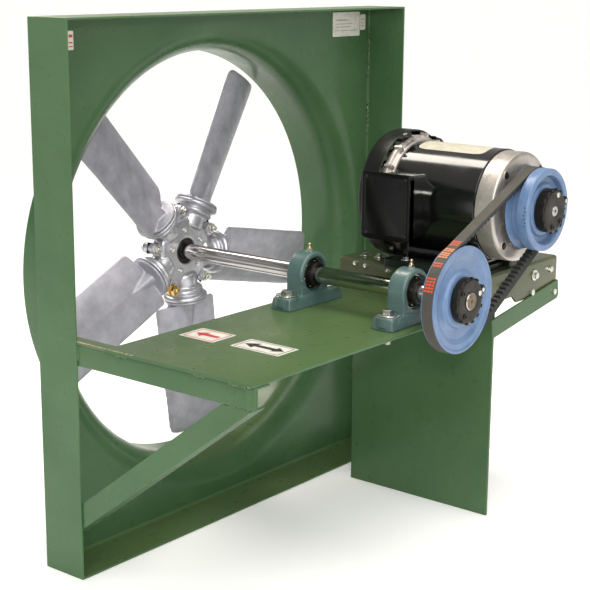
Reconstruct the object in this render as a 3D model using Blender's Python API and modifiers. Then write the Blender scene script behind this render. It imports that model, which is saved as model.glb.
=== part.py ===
"""Belt-drive panel fan: a flanged square panel with a spun venturi, a five-blade propeller on a shaft in
two pillow blocks, a bearing shelf with its braces, and an electric motor that drives it by a V-belt.

Metres, +Z up. The drive side faces -Y and the air leaves towards +Y. The origin is on the underside of
the bottom flange, midway across the panel and midway along the flange's depth."""

import math

import bmesh
import bpy
from mathutils import Matrix, Vector

# Panel
PANEL_W = 0.762
PANEL_H = 0.777
PANEL_D = 0.076
SHEET = 0.003
BACK_Y = PANEL_D / 2
THROAT_R = 0.321
BELL_R = 0.050
VENTURI_L = 0.100
GAP = 0.0003

# Fan shaft, running along Y. Distances called "out" run from the panel's back plane to the drive side
AXIS_Z = 0.394
SHAFT_R = 0.0127
SHAFT_FRONT_OUT = 0.462
SHAFT_BACK_OUT = -0.116

# Bearing shelf and its supports
SHELF_TOP = 0.347
SHELF_T = 0.004
SHELF_BACK_OUT = 0.131
SHELF_FRONT_OUT = 0.390
SHELF_RIGHT = 0.193
ANGLE_LEG = 0.030
ANGLE_T = 0.003
SUPPORT_X = 0.1905
SUPPORT_T = 0.005
SUPPORT_BACK_OUT = 0.120
SUPPORT_FRONT_OUT = 0.386
BRACE_RISE = math.radians(8.3)

# Pillow blocks
BLOCKS_OUT = {"front": 0.356, "rear": 0.172}
BLOCK_HALF = 0.065
BLOCK_DEPTH = 0.038
FOOT_H = 0.019
BLOCK_R = 0.0335
CUP_R = 0.0255
BOLT_X = 0.0490
BOLT_R = 0.0047

# Motor base and motor
BASE_LEFT = 0.139
BASE_RIGHT = 0.377
BASE_BACK_OUT = 0.126
BASE_FRONT_OUT = 0.3895
BASE_TOP = 0.392
BASE_T = 0.004
MOTOR_X = 0.199
MOTOR_Z = 0.496
SHELL_R = 0.084
BELL_END_R = 0.082
COVER_R = 0.100
SLIDE_TOP = 0.404
MOTOR_SHAFT_R = 0.0079

# Drive
BELT_OUT = 0.438
DRIVEN_R = 0.076
DRIVER_R = 0.0613
SHEAVE_HALF = 0.010
DRIVER_FRONT = 0.026
GROOVE_TOP = 0.0088
GROOVE_DEPTH = 0.0125
BELT_TOP = 0.0086
BELT_H = 0.0105
BELT_PROUD = 0.0008
GROOVE_ANGLE = math.radians(18)
BUSH_FLANGE_R = 0.0325
DRIVEN_FACE = 0.460
DRIVER_FACE = 0.476

# Propeller
HUB_OUT = -0.0908
HUB_HALF = 0.0135
HUB_R = 0.055
HUB_BORE_R = 0.0208
BLADES = 5
FIRST_BLADE = math.radians(61.2)
TIP_R = 0.3075
CHORD = 0.104
CHORD_SHIFT = -0.003
SLANT = 0.0045
ROOT_PITCH = math.radians(24)
TIP_PITCH = math.radians(17.4)
SHANK_R = 0.0150
SHOULDER_R = 0.0815
SHOULDER_L = 0.011
SOCKET_R = 0.0225
SOCKET_END = 0.080
COLLAR_R = 0.036
COLLAR_START = 0.0705


def clear_scene():
    for obj in list(bpy.data.objects):
        bpy.data.objects.remove(obj, do_unlink=True)


def collection(name):
    made = bpy.data.collections.new(name)
    bpy.context.scene.collection.children.link(made)
    return made


def material(name, color, roughness, metallic=0.0):
    made = bpy.data.materials.new(name)
    made.use_nodes = True
    shader = made.node_tree.nodes["Principled BSDF"]
    shader.inputs["Base Color"].default_value = (*color, 1.0)
    shader.inputs["Roughness"].default_value = roughness
    shader.inputs["Metallic"].default_value = metallic
    made.diffuse_color = (*color, 1.0)
    return made


clear_scene()
PARTS = collection("belt_drive_panel_fan")
CUTTERS = collection("cutters")
GREEN = material("green_enamel", (0.085, 0.20, 0.095), 0.38)
CAST_GREEN = material("casting_enamel", (0.09, 0.17, 0.16), 0.45)
SHEAVE_BLUE = material("sheave_enamel", (0.23, 0.33, 0.60), 0.42)
MOTOR_BLACK = material("motor_enamel", (0.012, 0.012, 0.013), 0.22)
BUSHING_BLACK = material("bushing_oxide", (0.02, 0.019, 0.017), 0.5, 0.4)
ALUMINIUM = material("cast_aluminium", (0.50, 0.48, 0.50), 0.48, 0.9)
STEEL = material("ground_steel", (0.62, 0.61, 0.60), 0.2, 1.0)
ZINC = material("zinc_plate", (0.66, 0.65, 0.62), 0.3, 1.0)
BRASS = material("brass", (0.75, 0.58, 0.28), 0.3, 1.0)
RUBBER = material("belt_rubber", (0.045, 0.043, 0.038), 0.75)
LAMINATION = material("lamination_steel", (0.25, 0.24, 0.23), 0.55, 0.8)


def place(obj, name, skin, where=PARTS):
    obj.name = name
    obj.data.name = name
    for old in list(obj.users_collection):
        old.objects.unlink(obj)
    where.objects.link(obj)
    obj.data.materials.clear()
    if skin:
        obj.data.materials.append(skin)
    if obj.type == "MESH":
        obj.data.shade_smooth()
        obj.data.set_sharp_from_angle(angle=math.radians(35))
    if where is CUTTERS:
        obj.hide_render = True
        obj.display_type = "WIRE"
    return obj


def y_at(out):
    return BACK_Y - out


def bevel(obj, width, segments=1):
    mod = obj.modifiers.new("edge", "BEVEL")
    mod.width = width
    mod.segments = segments
    mod.limit_method = "ANGLE"
    mod.angle_limit = math.radians(40)
    return mod


def box(name, low, high, skin=None, edge=0.0, where=PARTS):
    """A box between two corners, its scale applied before the bevel."""
    centre = [(a + b) / 2 for a, b in zip(low, high)]
    bpy.ops.mesh.primitive_cube_add(size=1.0, location=centre)
    obj = bpy.context.object
    size = [b - a for a, b in zip(low, high)]
    obj.data.transform(Matrix.Diagonal((*size, 1.0)))
    place(obj, name, skin, where)
    if edge:
        bevel(obj, edge)
    return obj


def turned(name, profile, x, z, skin=None, steps=48, where=PARTS, closed=True):
    """A profile of (radius, out) points turned about a line along Y at x, z. It runs from front to back
    down its outer side."""
    mesh = bpy.data.meshes.new(name)
    points = [(r, 0.0, out) for r, out in profile]
    edges = [(i, i + 1) for i in range(len(points) - 1)]
    if closed:
        edges.append((len(points) - 1, 0))
    mesh.from_pydata(points, edges, [])
    obj = bpy.data.objects.new(name, mesh)
    bpy.context.scene.collection.objects.link(obj)
    obj.location = (x, BACK_Y, z)
    obj.rotation_euler = (math.radians(90), 0.0, 0.0)
    place(obj, name, skin, where)
    mod = obj.modifiers.new("turn", "SCREW")
    mod.axis = "Z"
    mod.angle = 2 * math.pi
    mod.steps = steps
    mod.render_steps = steps
    mod.use_merge_vertices = True
    mod.merge_threshold = 0.00001
    mod.use_smooth_shade = True
    return obj


def ring(name, inner, outer, back, front, x, z, skin=None, steps=48, where=PARTS):
    profile = [(inner, front), (outer, front), (outer, back), (inner, back)]
    return turned(name, profile, x, z, skin, steps, where)


def rod(name, radius, back, front, x, z, skin=None, steps=32, where=PARTS, chamfer=0.0):
    profile = [(0.0, front), (radius, front), (radius, back), (0.0, back)]
    if chamfer:
        profile[1:3] = [
            (radius - chamfer, front),
            (radius, front - chamfer),
            (radius, back + chamfer),
            (radius - chamfer, back),
        ]
    return turned(name, profile, x, z, skin, steps, where, closed=False)


def pin(name, radius, start, end, skin=None, sides=24, where=PARTS):
    """A cylinder between two points."""
    start, end = Vector(start), Vector(end)
    along = end - start
    turn = along.to_track_quat("Z", "Y").to_matrix().to_4x4()
    mesh = bpy.data.meshes.new(name)
    shape = bmesh.new()
    bmesh.ops.create_cone(
        shape,
        cap_ends=True,
        segments=sides,
        radius1=radius,
        radius2=radius,
        depth=along.length,
        matrix=turn,
    )
    shape.to_mesh(mesh)
    shape.free()
    obj = bpy.data.objects.new(name, mesh)
    bpy.context.scene.collection.objects.link(obj)
    obj.location = (start + end) / 2
    return place(obj, name, skin, where)


def outline(name, points, thickness, matrix, skin=None, where=PARTS):
    """A flat outline drawn in XY, thickened evenly both ways, made a mesh and placed by matrix."""
    curve = bpy.data.curves.new(name, "CURVE")
    curve.dimensions = "2D"
    curve.fill_mode = "BOTH"
    curve.extrude = thickness / 2
    spline = curve.splines.new("POLY")
    spline.points.add(len(points) - 1)
    for point, (u, v) in zip(spline.points, points):
        point.co = (u, v, 0.0, 1.0)
    spline.use_cyclic_u = True
    guide = bpy.data.objects.new(name, curve)
    bpy.context.scene.collection.objects.link(guide)
    guide.matrix_world = matrix
    return meshed(guide, name, skin, where)


def meshed(guide, name, skin, where=PARTS):
    """The mesh of a curve with its caps welded. The curve is removed."""
    bpy.context.view_layer.update()
    graph = bpy.context.evaluated_depsgraph_get()
    mesh = bpy.data.meshes.new_from_object(guide.evaluated_get(graph))
    shape = bmesh.new()
    shape.from_mesh(mesh)
    bmesh.ops.remove_doubles(shape, verts=shape.verts, dist=0.00001)
    bmesh.ops.recalc_face_normals(shape, faces=shape.faces)
    shape.to_mesh(mesh)
    shape.free()
    obj = bpy.data.objects.new(name, mesh)
    bpy.context.scene.collection.objects.link(obj)
    obj.matrix_world = guide.matrix_world.copy()
    bpy.data.objects.remove(guide, do_unlink=True)
    return place(obj, name, skin, where)


def combine(obj, other, operation="DIFFERENCE"):
    mod = obj.modifiers.new(operation.lower(), "BOOLEAN")
    mod.operation = operation
    mod.solver = "EXACT"
    mod.object = other
    return obj


def cut(obj, *others):
    for other in others:
        combine(obj, other)
    return obj


def join(obj, *others):
    for other in others:
        combine(obj, other, "UNION")
    return obj


def arc(cx, cy, radius, start, end, count):
    """Points on a circle between two angles in degrees."""
    angles = [math.radians(start + (end - start) * i / (count - 1)) for i in range(count)]
    return [(cx + radius * math.cos(a), cy + radius * math.sin(a)) for a in angles]


def turn_to_xz(x, y, z, spin=0.0):
    """Places an outline drawn in XY upright in the XZ plane, its face to -Y."""
    stand = Matrix.Rotation(spin, 4, "Y") @ Matrix.Rotation(math.pi / 2, 4, "X")
    return Matrix.Translation((x, y, z)) @ stand


def turn_to_yz(x, y, z):
    """Places an outline drawn in XY upright in the YZ plane: its X runs to the drive side, its Y up."""
    basis = Matrix(((0, 0, -1, 0), (-1, 0, 0, 0), (0, 1, 0, 0), (0, 0, 0, 1)))
    return Matrix.Translation((x, y, z)) @ basis


def angle_section(leg, thickness):
    """An L drawn from its outer corner at the origin, with legs along +X and +Y."""
    return [(0, 0), (leg, 0), (leg, thickness), (thickness, thickness), (thickness, leg), (0, leg)]


# Panel ------------------------------------------------------------------------------------------------


def build_panel():
    half = PANEL_W / 2
    front = y_at(SHEET)
    sheet = box(
        "panel_sheet",
        (-half + SHEET + GAP, front, SHEET + GAP),
        (half - SHEET - GAP, BACK_Y, PANEL_H - SHEET - GAP),
        GREEN,
    )
    hole = rod(
        "panel_hole", THROAT_R + BELL_R + GAP, -0.02, 0.02, 0.0, AXIS_Z, steps=48, where=CUTTERS
    )
    cut(sheet, hole)
    for name, low, high in (
        ("flange_left", -half, -half + SHEET),
        ("flange_right", half - SHEET, half),
    ):
        box(name, (low, y_at(PANEL_D), 0.0), (high, BACK_Y, PANEL_H), GREEN, 0.0006)
    inner = half - SHEET - GAP
    for name, low, high in (
        ("flange_bottom", 0.0, SHEET),
        ("flange_top", PANEL_H - SHEET, PANEL_H),
    ):
        box(name, (-inner, y_at(PANEL_D), low), (inner, BACK_Y, high), GREEN, 0.0006)


def build_venturi():
    """The spun inlet: a quarter round from the panel's face that runs into a straight throat."""
    centre_r = THROAT_R + BELL_R
    centre_out = SHEET - BELL_R
    inner = [(centre_r + a, centre_out + b) for a, b in arc(0, 0, BELL_R, 180, 90, 6)]
    outer = [(centre_r + a, centre_out + b) for a, b in arc(0, 0, BELL_R - SHEET, 90, 180, 5)]
    edge = SHEET - VENTURI_L
    lip = [(THROAT_R + SHEET, edge), (THROAT_R, edge)]
    turned("venturi_ring", inner + outer + lip, 0.0, AXIS_Z, GREEN, steps=48)


# Shelf and its supports -------------------------------------------------------------------------------


def build_shelf():
    """A flat plate, drilled for the pillow blocks' bolts."""
    left = -PANEL_W / 2
    section = [
        (SHELF_BACK_OUT, 0.0),
        (SHELF_FRONT_OUT, 0.0),
        (SHELF_FRONT_OUT, -SHELF_T),
        (SHELF_BACK_OUT, -SHELF_T),
    ]
    width = SHELF_RIGHT - left
    centre = (left + SHELF_RIGHT) / 2
    shelf = outline("bearing_shelf", section, width, turn_to_yz(centre, BACK_Y, SHELF_TOP), GREEN)
    for name, out in BLOCKS_OUT.items():
        for side in (-1, 1):
            x = side * BOLT_X
            hole = pin(
                f"shelf_hole_{name}_{side}",
                BOLT_R + GAP,
                (x, y_at(out), SHELF_TOP - 0.02),
                (x, y_at(out), SHELF_TOP + 0.02),
                sides=12,
                where=CUTTERS,
            )
            cut(shelf, hole)


def build_side_angle():
    """The angle under the shelf's left edge, running back inside the left flange."""
    start, end = 0.022, SHELF_FRONT_OUT
    leg_x = -PANEL_W / 2 + SHEET + GAP
    top = SHELF_TOP - SHELF_T - GAP
    upright = box(
        "shelf_side_angle",
        (leg_x, y_at(end), top - ANGLE_LEG),
        (leg_x + ANGLE_T, y_at(start), top),
        GREEN,
    )
    level = box(
        "side_angle_level",
        (leg_x + ANGLE_T / 2, y_at(end), top - ANGLE_T),
        (leg_x + ANGLE_LEG, y_at(start), top),
        where=CUTTERS,
    )
    join(upright, level)


def build_left_brace():
    """An angle from low on the left flange up to the shelf's front corner, its lower leg turned inwards."""
    low = Vector((0.052, 0.058))
    high = Vector((0.384, 0.311))
    along = (high - low).normalized()
    across = Vector((-along.y, along.x))
    leg_x = -PANEL_W / 2 + SHEET + GAP
    ceiling = SHELF_TOP - SHELF_T - ANGLE_LEG - 2 * GAP
    reach = (ceiling - (low + across * ANGLE_LEG).y) / along.y
    reach_low = (ceiling - low.y) / along.y
    corners = [low, low + along * reach_low, low + across * ANGLE_LEG + along * reach]
    corners.append(low + across * ANGLE_LEG)
    side = [(p.x, p.y) for p in corners]
    upright = outline(
        "left_brace", side, ANGLE_T, turn_to_yz(leg_x + ANGLE_T / 2, BACK_Y, 0.0), GREEN
    )
    far = low + along * (reach_low - 0.004)
    strip = [low, far, far + across * ANGLE_T, low + across * ANGLE_T]
    level = outline(
        "left_brace_level",
        [(p.x, p.y) for p in strip],
        ANGLE_LEG - ANGLE_T / 2,
        turn_to_yz(leg_x + (ANGLE_LEG + ANGLE_T / 2) / 2, BACK_Y, 0.0),
        where=CUTTERS,
    )
    join(upright, level)


def build_support_plate():
    box(
        "support_plate",
        (SUPPORT_X - SUPPORT_T / 2, y_at(SUPPORT_FRONT_OUT - GAP), 0.0),
        (SUPPORT_X + SUPPORT_T / 2, y_at(SUPPORT_BACK_OUT), SHELF_TOP - SHELF_T - GAP),
        GREEN,
        0.0008,
    )


def build_right_brace():
    """An angle across the front, rising from the support plate's edge to the motor base's far corner."""
    start = Vector((0.1760, 0.2926))
    length = 0.2045
    turn = Matrix.Rotation(-BRACE_RISE, 4, "Y")
    origin = Matrix.Translation((start.x, y_at(SHELF_FRONT_OUT + GAP + ANGLE_T), start.y))
    upright = box(
        "right_brace", (0.0, 0.0, 0.0), (length, ANGLE_T, ANGLE_LEG), GREEN, 0.0006
    )
    level = box(
        "right_brace_level",
        (0.022, ANGLE_T / 2, 0.0),
        (length - 0.003, ANGLE_LEG, ANGLE_T),
        where=CUTTERS,
    )
    for obj in (upright, level):
        obj.matrix_world = origin @ turn @ Matrix.Translation(obj.location)
    join(upright, level)


# Pillow blocks ----------------------------------------------------------------------------------------


def block_outline():
    """The housing seen along the shaft: a round top that runs down into the foot."""
    height = AXIS_Z - SHELF_TOP - GAP
    crown = arc(0.0, 0.0, BLOCK_R, -24, 204, 19)
    floor, shoulder = -height + 0.002, -height + FOOT_H
    right = [(0.0318, floor), (0.0318, shoulder), (0.0310, shoulder + 0.004)]
    left = [(-u, v) for u, v in reversed(right)]
    return right + crown + left


def build_blocks():
    floor = SHELF_TOP + GAP
    for name, out in BLOCKS_OUT.items():
        y = y_at(out)
        foot = box(
            f"pillow_block_{name}",
            (-BLOCK_HALF, y - BLOCK_DEPTH / 2, floor),
            (BLOCK_HALF, y + BLOCK_DEPTH / 2, floor + FOOT_H),
            CAST_GREEN,
            0.003,
        )
        crown = outline(
            f"block_crown_{name}", block_outline(), 0.031, turn_to_xz(0.0, y, AXIS_Z), where=CUTTERS
        )
        seat = rod(
            f"block_seat_{name}", CUP_R + GAP, out - 0.03, out + 0.03, 0.0, AXIS_Z, steps=28, where=CUTTERS
        )
        tap = pin(
            f"block_tap_{name}",
            0.0030 + GAP,
            (0.0, y - 0.004, AXIS_Z + CUP_R + 0.0015),
            (0.0, y - 0.004, AXIS_Z + BLOCK_R + 0.01),
            sides=8,
            where=CUTTERS,
        )
        join(foot, crown)
        cut(foot, seat, tap)
        for side in (-1, 1):
            x = side * BOLT_X
            hole = pin(
                f"block_hole_{name}_{side}",
                BOLT_R + GAP,
                (x, y, floor - 0.01),
                (x, y, floor + FOOT_H + 0.01),
                sides=12,
                where=CUTTERS,
            )
            cut(foot, hole)
            build_block_bolt(f"block_bolt_{name}_{'left' if side < 0 else 'right'}", x, y)
        build_bearing(name, out)
        build_grease_fitting(name, y)


def stack(name, pieces, x, y, skin, where=PARTS):
    """Cylinders and prisms on one upright line, made one body. A piece is sides, radius, low, high."""
    made = []
    for i, (sides, radius, low, high) in enumerate(pieces):
        label = name if i == 0 else f"{name}_{i}"
        spot = where if i == 0 else CUTTERS
        made.append(pin(label, radius, (x, y, low), (x, y, high), skin, sides, spot))
    return join(made[0], *made[1:])


def build_block_bolt(name, x, y):
    top = SHELF_TOP + FOOT_H + 2 * GAP
    under = SHELF_TOP - SHELF_T - GAP
    stack(
        name,
        (
            (12, BOLT_R - 0.0001, under - 0.016, top + 0.004),
            (16, 0.0165, top, top + 0.0026),
            (6, 0.0085, top + 0.0020, top + 0.0090),
            (6, 0.0085, under - 0.0080, under),
        ),
        x,
        y,
        ZINC,
    )


def build_bearing(name, out):
    """The insert: a fixed outer ring with its seal, and the long inner ring that turns with the shaft."""
    half = 0.0085
    ring_profile = [
        (0.0215, out + half - 0.0015),
        (CUP_R - 0.001, out + half),
        (CUP_R, out + half - 0.001),
        (CUP_R, out - half + 0.001),
        (CUP_R - 0.001, out - half),
        (0.0215, out - half + 0.0015),
    ]
    turned(f"bearing_outer_{name}", ring_profile, 0.0, AXIS_Z, STEEL, steps=28)
    inner = [
        (SHAFT_R + GAP, out + 0.0215),
        (0.0175, out + 0.0215),
        (0.0175, out + half),
        (0.0211, out + half - 0.002),
        (0.0211, out - half + 0.002),
        (0.0175, out - half),
        (0.0175, out - 0.0130),
        (SHAFT_R + GAP, out - 0.0130),
    ]
    turned(f"bearing_inner_{name}", inner, 0.0, AXIS_Z, BUSHING_BLACK, steps=28)


def build_grease_fitting(name, y):
    top = AXIS_Z + BLOCK_R
    stack(
        f"grease_fitting_{name}",
        (
            (8, 0.0029, top - 0.0060, top + 0.006),
            (6, 0.0044, top + 0.0008, top + 0.0045),
            (8, 0.0022, top + 0.0040, top + 0.0125),
        ),
        0.0,
        y - 0.004,
        BRASS,
    )


# Propeller --------------------------------------------------------------------------------------------


def section(radius):
    """Half chord, half thickness, pitch, squareness and how far it has become a plate, at a radius."""
    if radius < SHOULDER_R:
        return SHANK_R - GAP, SHANK_R - GAP, ROOT_PITCH, 2.0, 0.0
    grow = min(1.0, (radius - SHOULDER_R) / SHOULDER_L)
    ease = grow * grow * (3 - 2 * grow)
    tip = max(0.0, (radius - (TIP_R - 0.016)) / 0.016)
    half = SHANK_R + (CHORD / 2 - SHANK_R) * ease
    half *= 1.0 - 0.22 * tip * tip
    thick = SHANK_R + (0.0042 - SHANK_R) * min(1.0, ease * 1.15)
    share = (radius - SHOULDER_R) / (TIP_R - SHOULDER_R)
    thick = thick - 0.0018 * share
    pitch = ROOT_PITCH + (TIP_PITCH - ROOT_PITCH) * share
    return half, thick, pitch, 2.0 + 0.6 * ease, ease


def blade_ring(radius, count):
    """Points of one section, in the blade's own frame: radius along X, chord along Y, the shaft along Z.
    The plate is cut aslant, and sits a little off the root's centre line."""
    half, thick, pitch, power, ease = section(radius)
    points = []
    for i in range(count):
        a = 2 * math.pi * i / count
        c, s = math.cos(a), math.sin(a)
        u = half * math.copysign(abs(c) ** (2 / power), c)
        v = thick * math.copysign(abs(s) ** (2 / power), s)
        share = u / half
        v += 0.008 * ease * (1 - share**2)
        u += CHORD_SHIFT * ease
        y = u * math.cos(pitch) - v * math.sin(pitch)
        z = u * math.sin(pitch) + v * math.cos(pitch)
        points.append((radius - SLANT * ease * share, y, z))
    return points


def blade_mesh(name):
    """A blade with its round root, lofted section by section."""
    full = SHOULDER_R + SHOULDER_L
    radii = [0.040, SHOULDER_R - 0.001]
    radii += [SHOULDER_R + SHOULDER_L * t for t in (0.25, 0.45, 0.6, 0.8, 1.0)]
    radii += [full + (TIP_R - full - 0.014) * i / 4 for i in range(1, 5)]
    radii += [TIP_R - 0.007, TIP_R - 0.002, TIP_R]
    count = 16
    shape = bmesh.new()
    rings = []
    for radius in radii:
        ring_points = blade_ring(radius, count)
        rings.append([shape.verts.new(p) for p in ring_points])
    for near, far in zip(rings, rings[1:]):
        for i in range(count):
            j = (i + 1) % count
            shape.faces.new((near[i], near[j], far[j], far[i]))
    shape.faces.new(tuple(reversed(rings[0])))
    shape.faces.new(tuple(rings[-1]))
    bmesh.ops.recalc_face_normals(shape, faces=shape.faces)
    mesh = bpy.data.meshes.new(name)
    shape.to_mesh(mesh)
    shape.free()
    return mesh


def build_blades():
    """Blade angles are counted from +X towards +Z as seen from the drive side."""
    mesh = blade_mesh("fan_blade")
    for i in range(BLADES):
        name = f"fan_blade_{i + 1}"
        obj = bpy.data.objects.new(name, mesh.copy())
        bpy.context.scene.collection.objects.link(obj)
        spin = FIRST_BLADE + i * 2 * math.pi / BLADES
        radial = Vector((math.cos(spin), 0.0, math.sin(spin)))
        sideways = Vector((-math.sin(spin), 0.0, math.cos(spin)))
        axial = Vector((0.0, -1.0, 0.0))
        basis = Matrix((radial, sideways, axial)).transposed().to_4x4()
        obj.matrix_world = Matrix.Translation((0.0, y_at(HUB_OUT), AXIS_Z)) @ basis
        place(obj, name, ALUMINIUM)


def build_hub_half(name, side):
    """One half of the split hub. side is 1 for the drive side and -1 for the far side."""
    split = HUB_OUT + side * GAP
    face = HUB_OUT + side * HUB_HALF
    back, front = min(split, face), max(split, face)
    core = rod(name, HUB_R, back, front, 0.0, AXIS_Z, ALUMINIUM, steps=30)
    for i in range(BLADES):
        spin = FIRST_BLADE + i * 2 * math.pi / BLADES
        radial = Vector((math.cos(spin), 0.0, math.sin(spin)))
        centre = Vector((0.0, y_at(HUB_OUT), AXIS_Z))
        socket = pin(
            f"{name}_socket_{i}",
            SOCKET_R,
            centre + radial * 0.034,
            centre + radial * (SOCKET_END - 0.002),
            sides=16,
            where=CUTTERS,
        )
        collar = pin(
            f"{name}_collar_{i}",
            COLLAR_R,
            centre + radial * COLLAR_START,
            centre + radial * SOCKET_END,
            sides=20,
            where=CUTTERS,
        )
        join(core, socket, collar)
    near_y, far_y = sorted((y_at(split), y_at(split - side * 0.06)))
    trim = box(
        f"{name}_trim", (-0.12, near_y, AXIS_Z - 0.12), (0.12, far_y, AXIS_Z + 0.12), where=CUTTERS
    )
    cut(core, trim)
    for i in range(BLADES):
        spin = FIRST_BLADE + i * 2 * math.pi / BLADES
        radial = Vector((math.cos(spin), 0.0, math.sin(spin)))
        centre = Vector((0.0, y_at(HUB_OUT), AXIS_Z))
        shank = pin(
            f"{name}_shank_{i}",
            SHANK_R + GAP,
            centre + radial * 0.0385,
            centre + radial * (SOCKET_END + 0.02),
            sides=16,
            where=CUTTERS,
        )
        cut(core, shank)
    bore = rod(
        f"{name}_bore", HUB_BORE_R, HUB_OUT - 0.05, HUB_OUT + 0.05, 0.0, AXIS_Z, steps=24, where=CUTTERS
    )
    return cut(core, bore)


def build_hub():
    build_hub_half("hub_front", 1)
    build_hub_half("hub_rear", -1)
    front, back = HUB_OUT + HUB_HALF - 0.002, HUB_OUT - HUB_HALF + 0.001
    outer = HUB_BORE_R - GAP
    ring("hub_bushing", SHAFT_R + GAP, outer, back, front, 0.0, AXIS_Z, BUSHING_BLACK, steps=24)


# Drive ------------------------------------------------------------------------------------------------


def groove(radius, out):
    """The V of a sheave's rim, front edge first."""
    drop = GROOVE_DEPTH * math.tan(GROOVE_ANGLE)
    return [
        (radius, out + GROOVE_TOP),
        (radius - GROOVE_DEPTH, out + GROOVE_TOP - drop),
        (radius - GROOVE_DEPTH, out - GROOVE_TOP + drop),
        (radius, out - GROOVE_TOP),
    ]


def build_driven_sheave():
    r, front, back = DRIVEN_R, BELT_OUT + SHEAVE_HALF, BELT_OUT - SHEAVE_HALF
    profile = [
        (0.0235, front - 0.001),
        (0.0410, front - 0.001),
        (0.0430, front - 0.006),
        (0.0560, front - 0.006),
        (0.0600, front),
        (r, front),
    ]
    profile += groove(r, BELT_OUT)
    profile += [(r, back), (0.0600, back), (0.0560, back + 0.006), (0.0430, back + 0.006)]
    profile += [(0.0400, back - 0.004), (0.0225, back - 0.004)]
    turned("driven_sheave", profile, 0.0, AXIS_Z, SHEAVE_BLUE, steps=36)
    build_bushing("driven_bushing", DRIVEN_FACE, front, back, SHAFT_R, 0.0, AXIS_Z)


def build_bushing(name, face, front, back, bore, x, z):
    """A flanged taper bushing: the flange bears on the sheave's hub, with one ear for the clamping screw."""
    body = turned(
        name,
        [
            (bore + GAP, face),
            (BUSH_FLANGE_R - 0.001, face),
            (BUSH_FLANGE_R, face - 0.001),
            (BUSH_FLANGE_R, front - 0.001 + GAP),
            (0.0232, front - 0.001 + GAP),
            (0.0222, back - 0.003),
            (bore + GAP, back - 0.003),
        ],
        x,
        z,
        BUSHING_BLACK,
        steps=24,
    )
    ear = rod(
        f"{name}_ear",
        0.0070,
        front - 0.001 + GAP,
        face - 0.0005,
        x + BUSH_FLANGE_R,
        z + 0.011,
        steps=16,
        where=CUTTERS,
    )
    slot = box(
        f"{name}_slot",
        (x + bore - 0.004, y_at(face + 0.01), z - 0.0010),
        (x + 0.060, y_at(back - 0.02), z + 0.0010),
        where=CUTTERS,
    )
    join(body, ear)
    return cut(body, slot)


def build_motor_sheave():
    r = DRIVER_R
    front, back = BELT_OUT + DRIVER_FRONT, BELT_OUT - SHEAVE_HALF
    profile = [
        (0.0235, front - 0.005),
        (0.0385, front - 0.005),
        (0.0405, front - 0.011),
        (0.0500, front - 0.011),
        (0.0530, front),
        (r, front),
    ]
    profile += groove(r, BELT_OUT)
    profile += [(r, back), (0.0460, back), (0.0430, back + 0.005), (0.0360, back + 0.005)]
    profile += [(0.0340, back + 0.001), (0.0225, back + 0.001)]
    turned("motor_sheave", profile, MOTOR_X, MOTOR_Z, SHEAVE_BLUE, steps=32)
    build_bushing(
        "motor_bushing", DRIVER_FACE, front - 0.004, back + 0.006, MOTOR_SHAFT_R, MOTOR_X, MOTOR_Z
    )


def belt_path(inset):
    """The belt's closed path in the XZ plane: two arcs joined by straight runs."""
    span = Vector((MOTOR_X, MOTOR_Z - AXIS_Z))
    big, small = DRIVEN_R - inset, DRIVER_R - inset
    lean = math.acos((big - small) / span.length)
    heading = math.atan2(span.y, span.x)
    first, last = heading + lean, heading + 2 * math.pi - lean
    points = []
    count = 24
    for i in range(count + 1):
        a = first + (last - first) * i / count
        points.append((big * math.cos(a), AXIS_Z + big * math.sin(a)))
    for i in range(count - 1):
        a = heading - lean + 2 * lean * i / (count - 2)
        points.append((MOTOR_X + small * math.cos(a), MOTOR_Z + small * math.sin(a)))
    return points


def build_belt():
    """A V section carried round the two sheaves."""
    inset = BELT_H / 2 - BELT_PROUD
    narrow = BELT_TOP - BELT_H * math.tan(GROOVE_ANGLE)
    path = [Vector(p) for p in belt_path(inset)]
    count = len(path)
    shape = bmesh.new()
    rings = []
    for i, spot in enumerate(path):
        tangent = (path[(i + 1) % count] - path[i - 1]).normalized()
        normal = Vector((tangent.y, -tangent.x))
        outer = spot + normal * BELT_H / 2
        inner = spot - normal * BELT_H / 2
        corners = (
            (outer.x, y_at(BELT_OUT - BELT_TOP), outer.y),
            (outer.x, y_at(BELT_OUT + BELT_TOP), outer.y),
            (inner.x, y_at(BELT_OUT + narrow), inner.y),
            (inner.x, y_at(BELT_OUT - narrow), inner.y),
        )
        rings.append([shape.verts.new(c) for c in corners])
    for i in range(count):
        near, far = rings[i], rings[(i + 1) % count]
        for k in range(4):
            m = (k + 1) % 4
            shape.faces.new((near[k], near[m], far[m], far[k]))
    bmesh.ops.recalc_face_normals(shape, faces=shape.faces)
    mesh = bpy.data.meshes.new("v_belt")
    shape.to_mesh(mesh)
    shape.free()
    obj = bpy.data.objects.new("v_belt", mesh)
    bpy.context.scene.collection.objects.link(obj)
    place(obj, "v_belt", RUBBER)


def build_fan_shaft():
    rod(
        "fan_shaft", SHAFT_R, SHAFT_BACK_OUT, SHAFT_FRONT_OUT, 0.0, AXIS_Z, STEEL, steps=28, chamfer=0.001
    )


# Motor ------------------------------------------------------------------------------------------------


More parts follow.
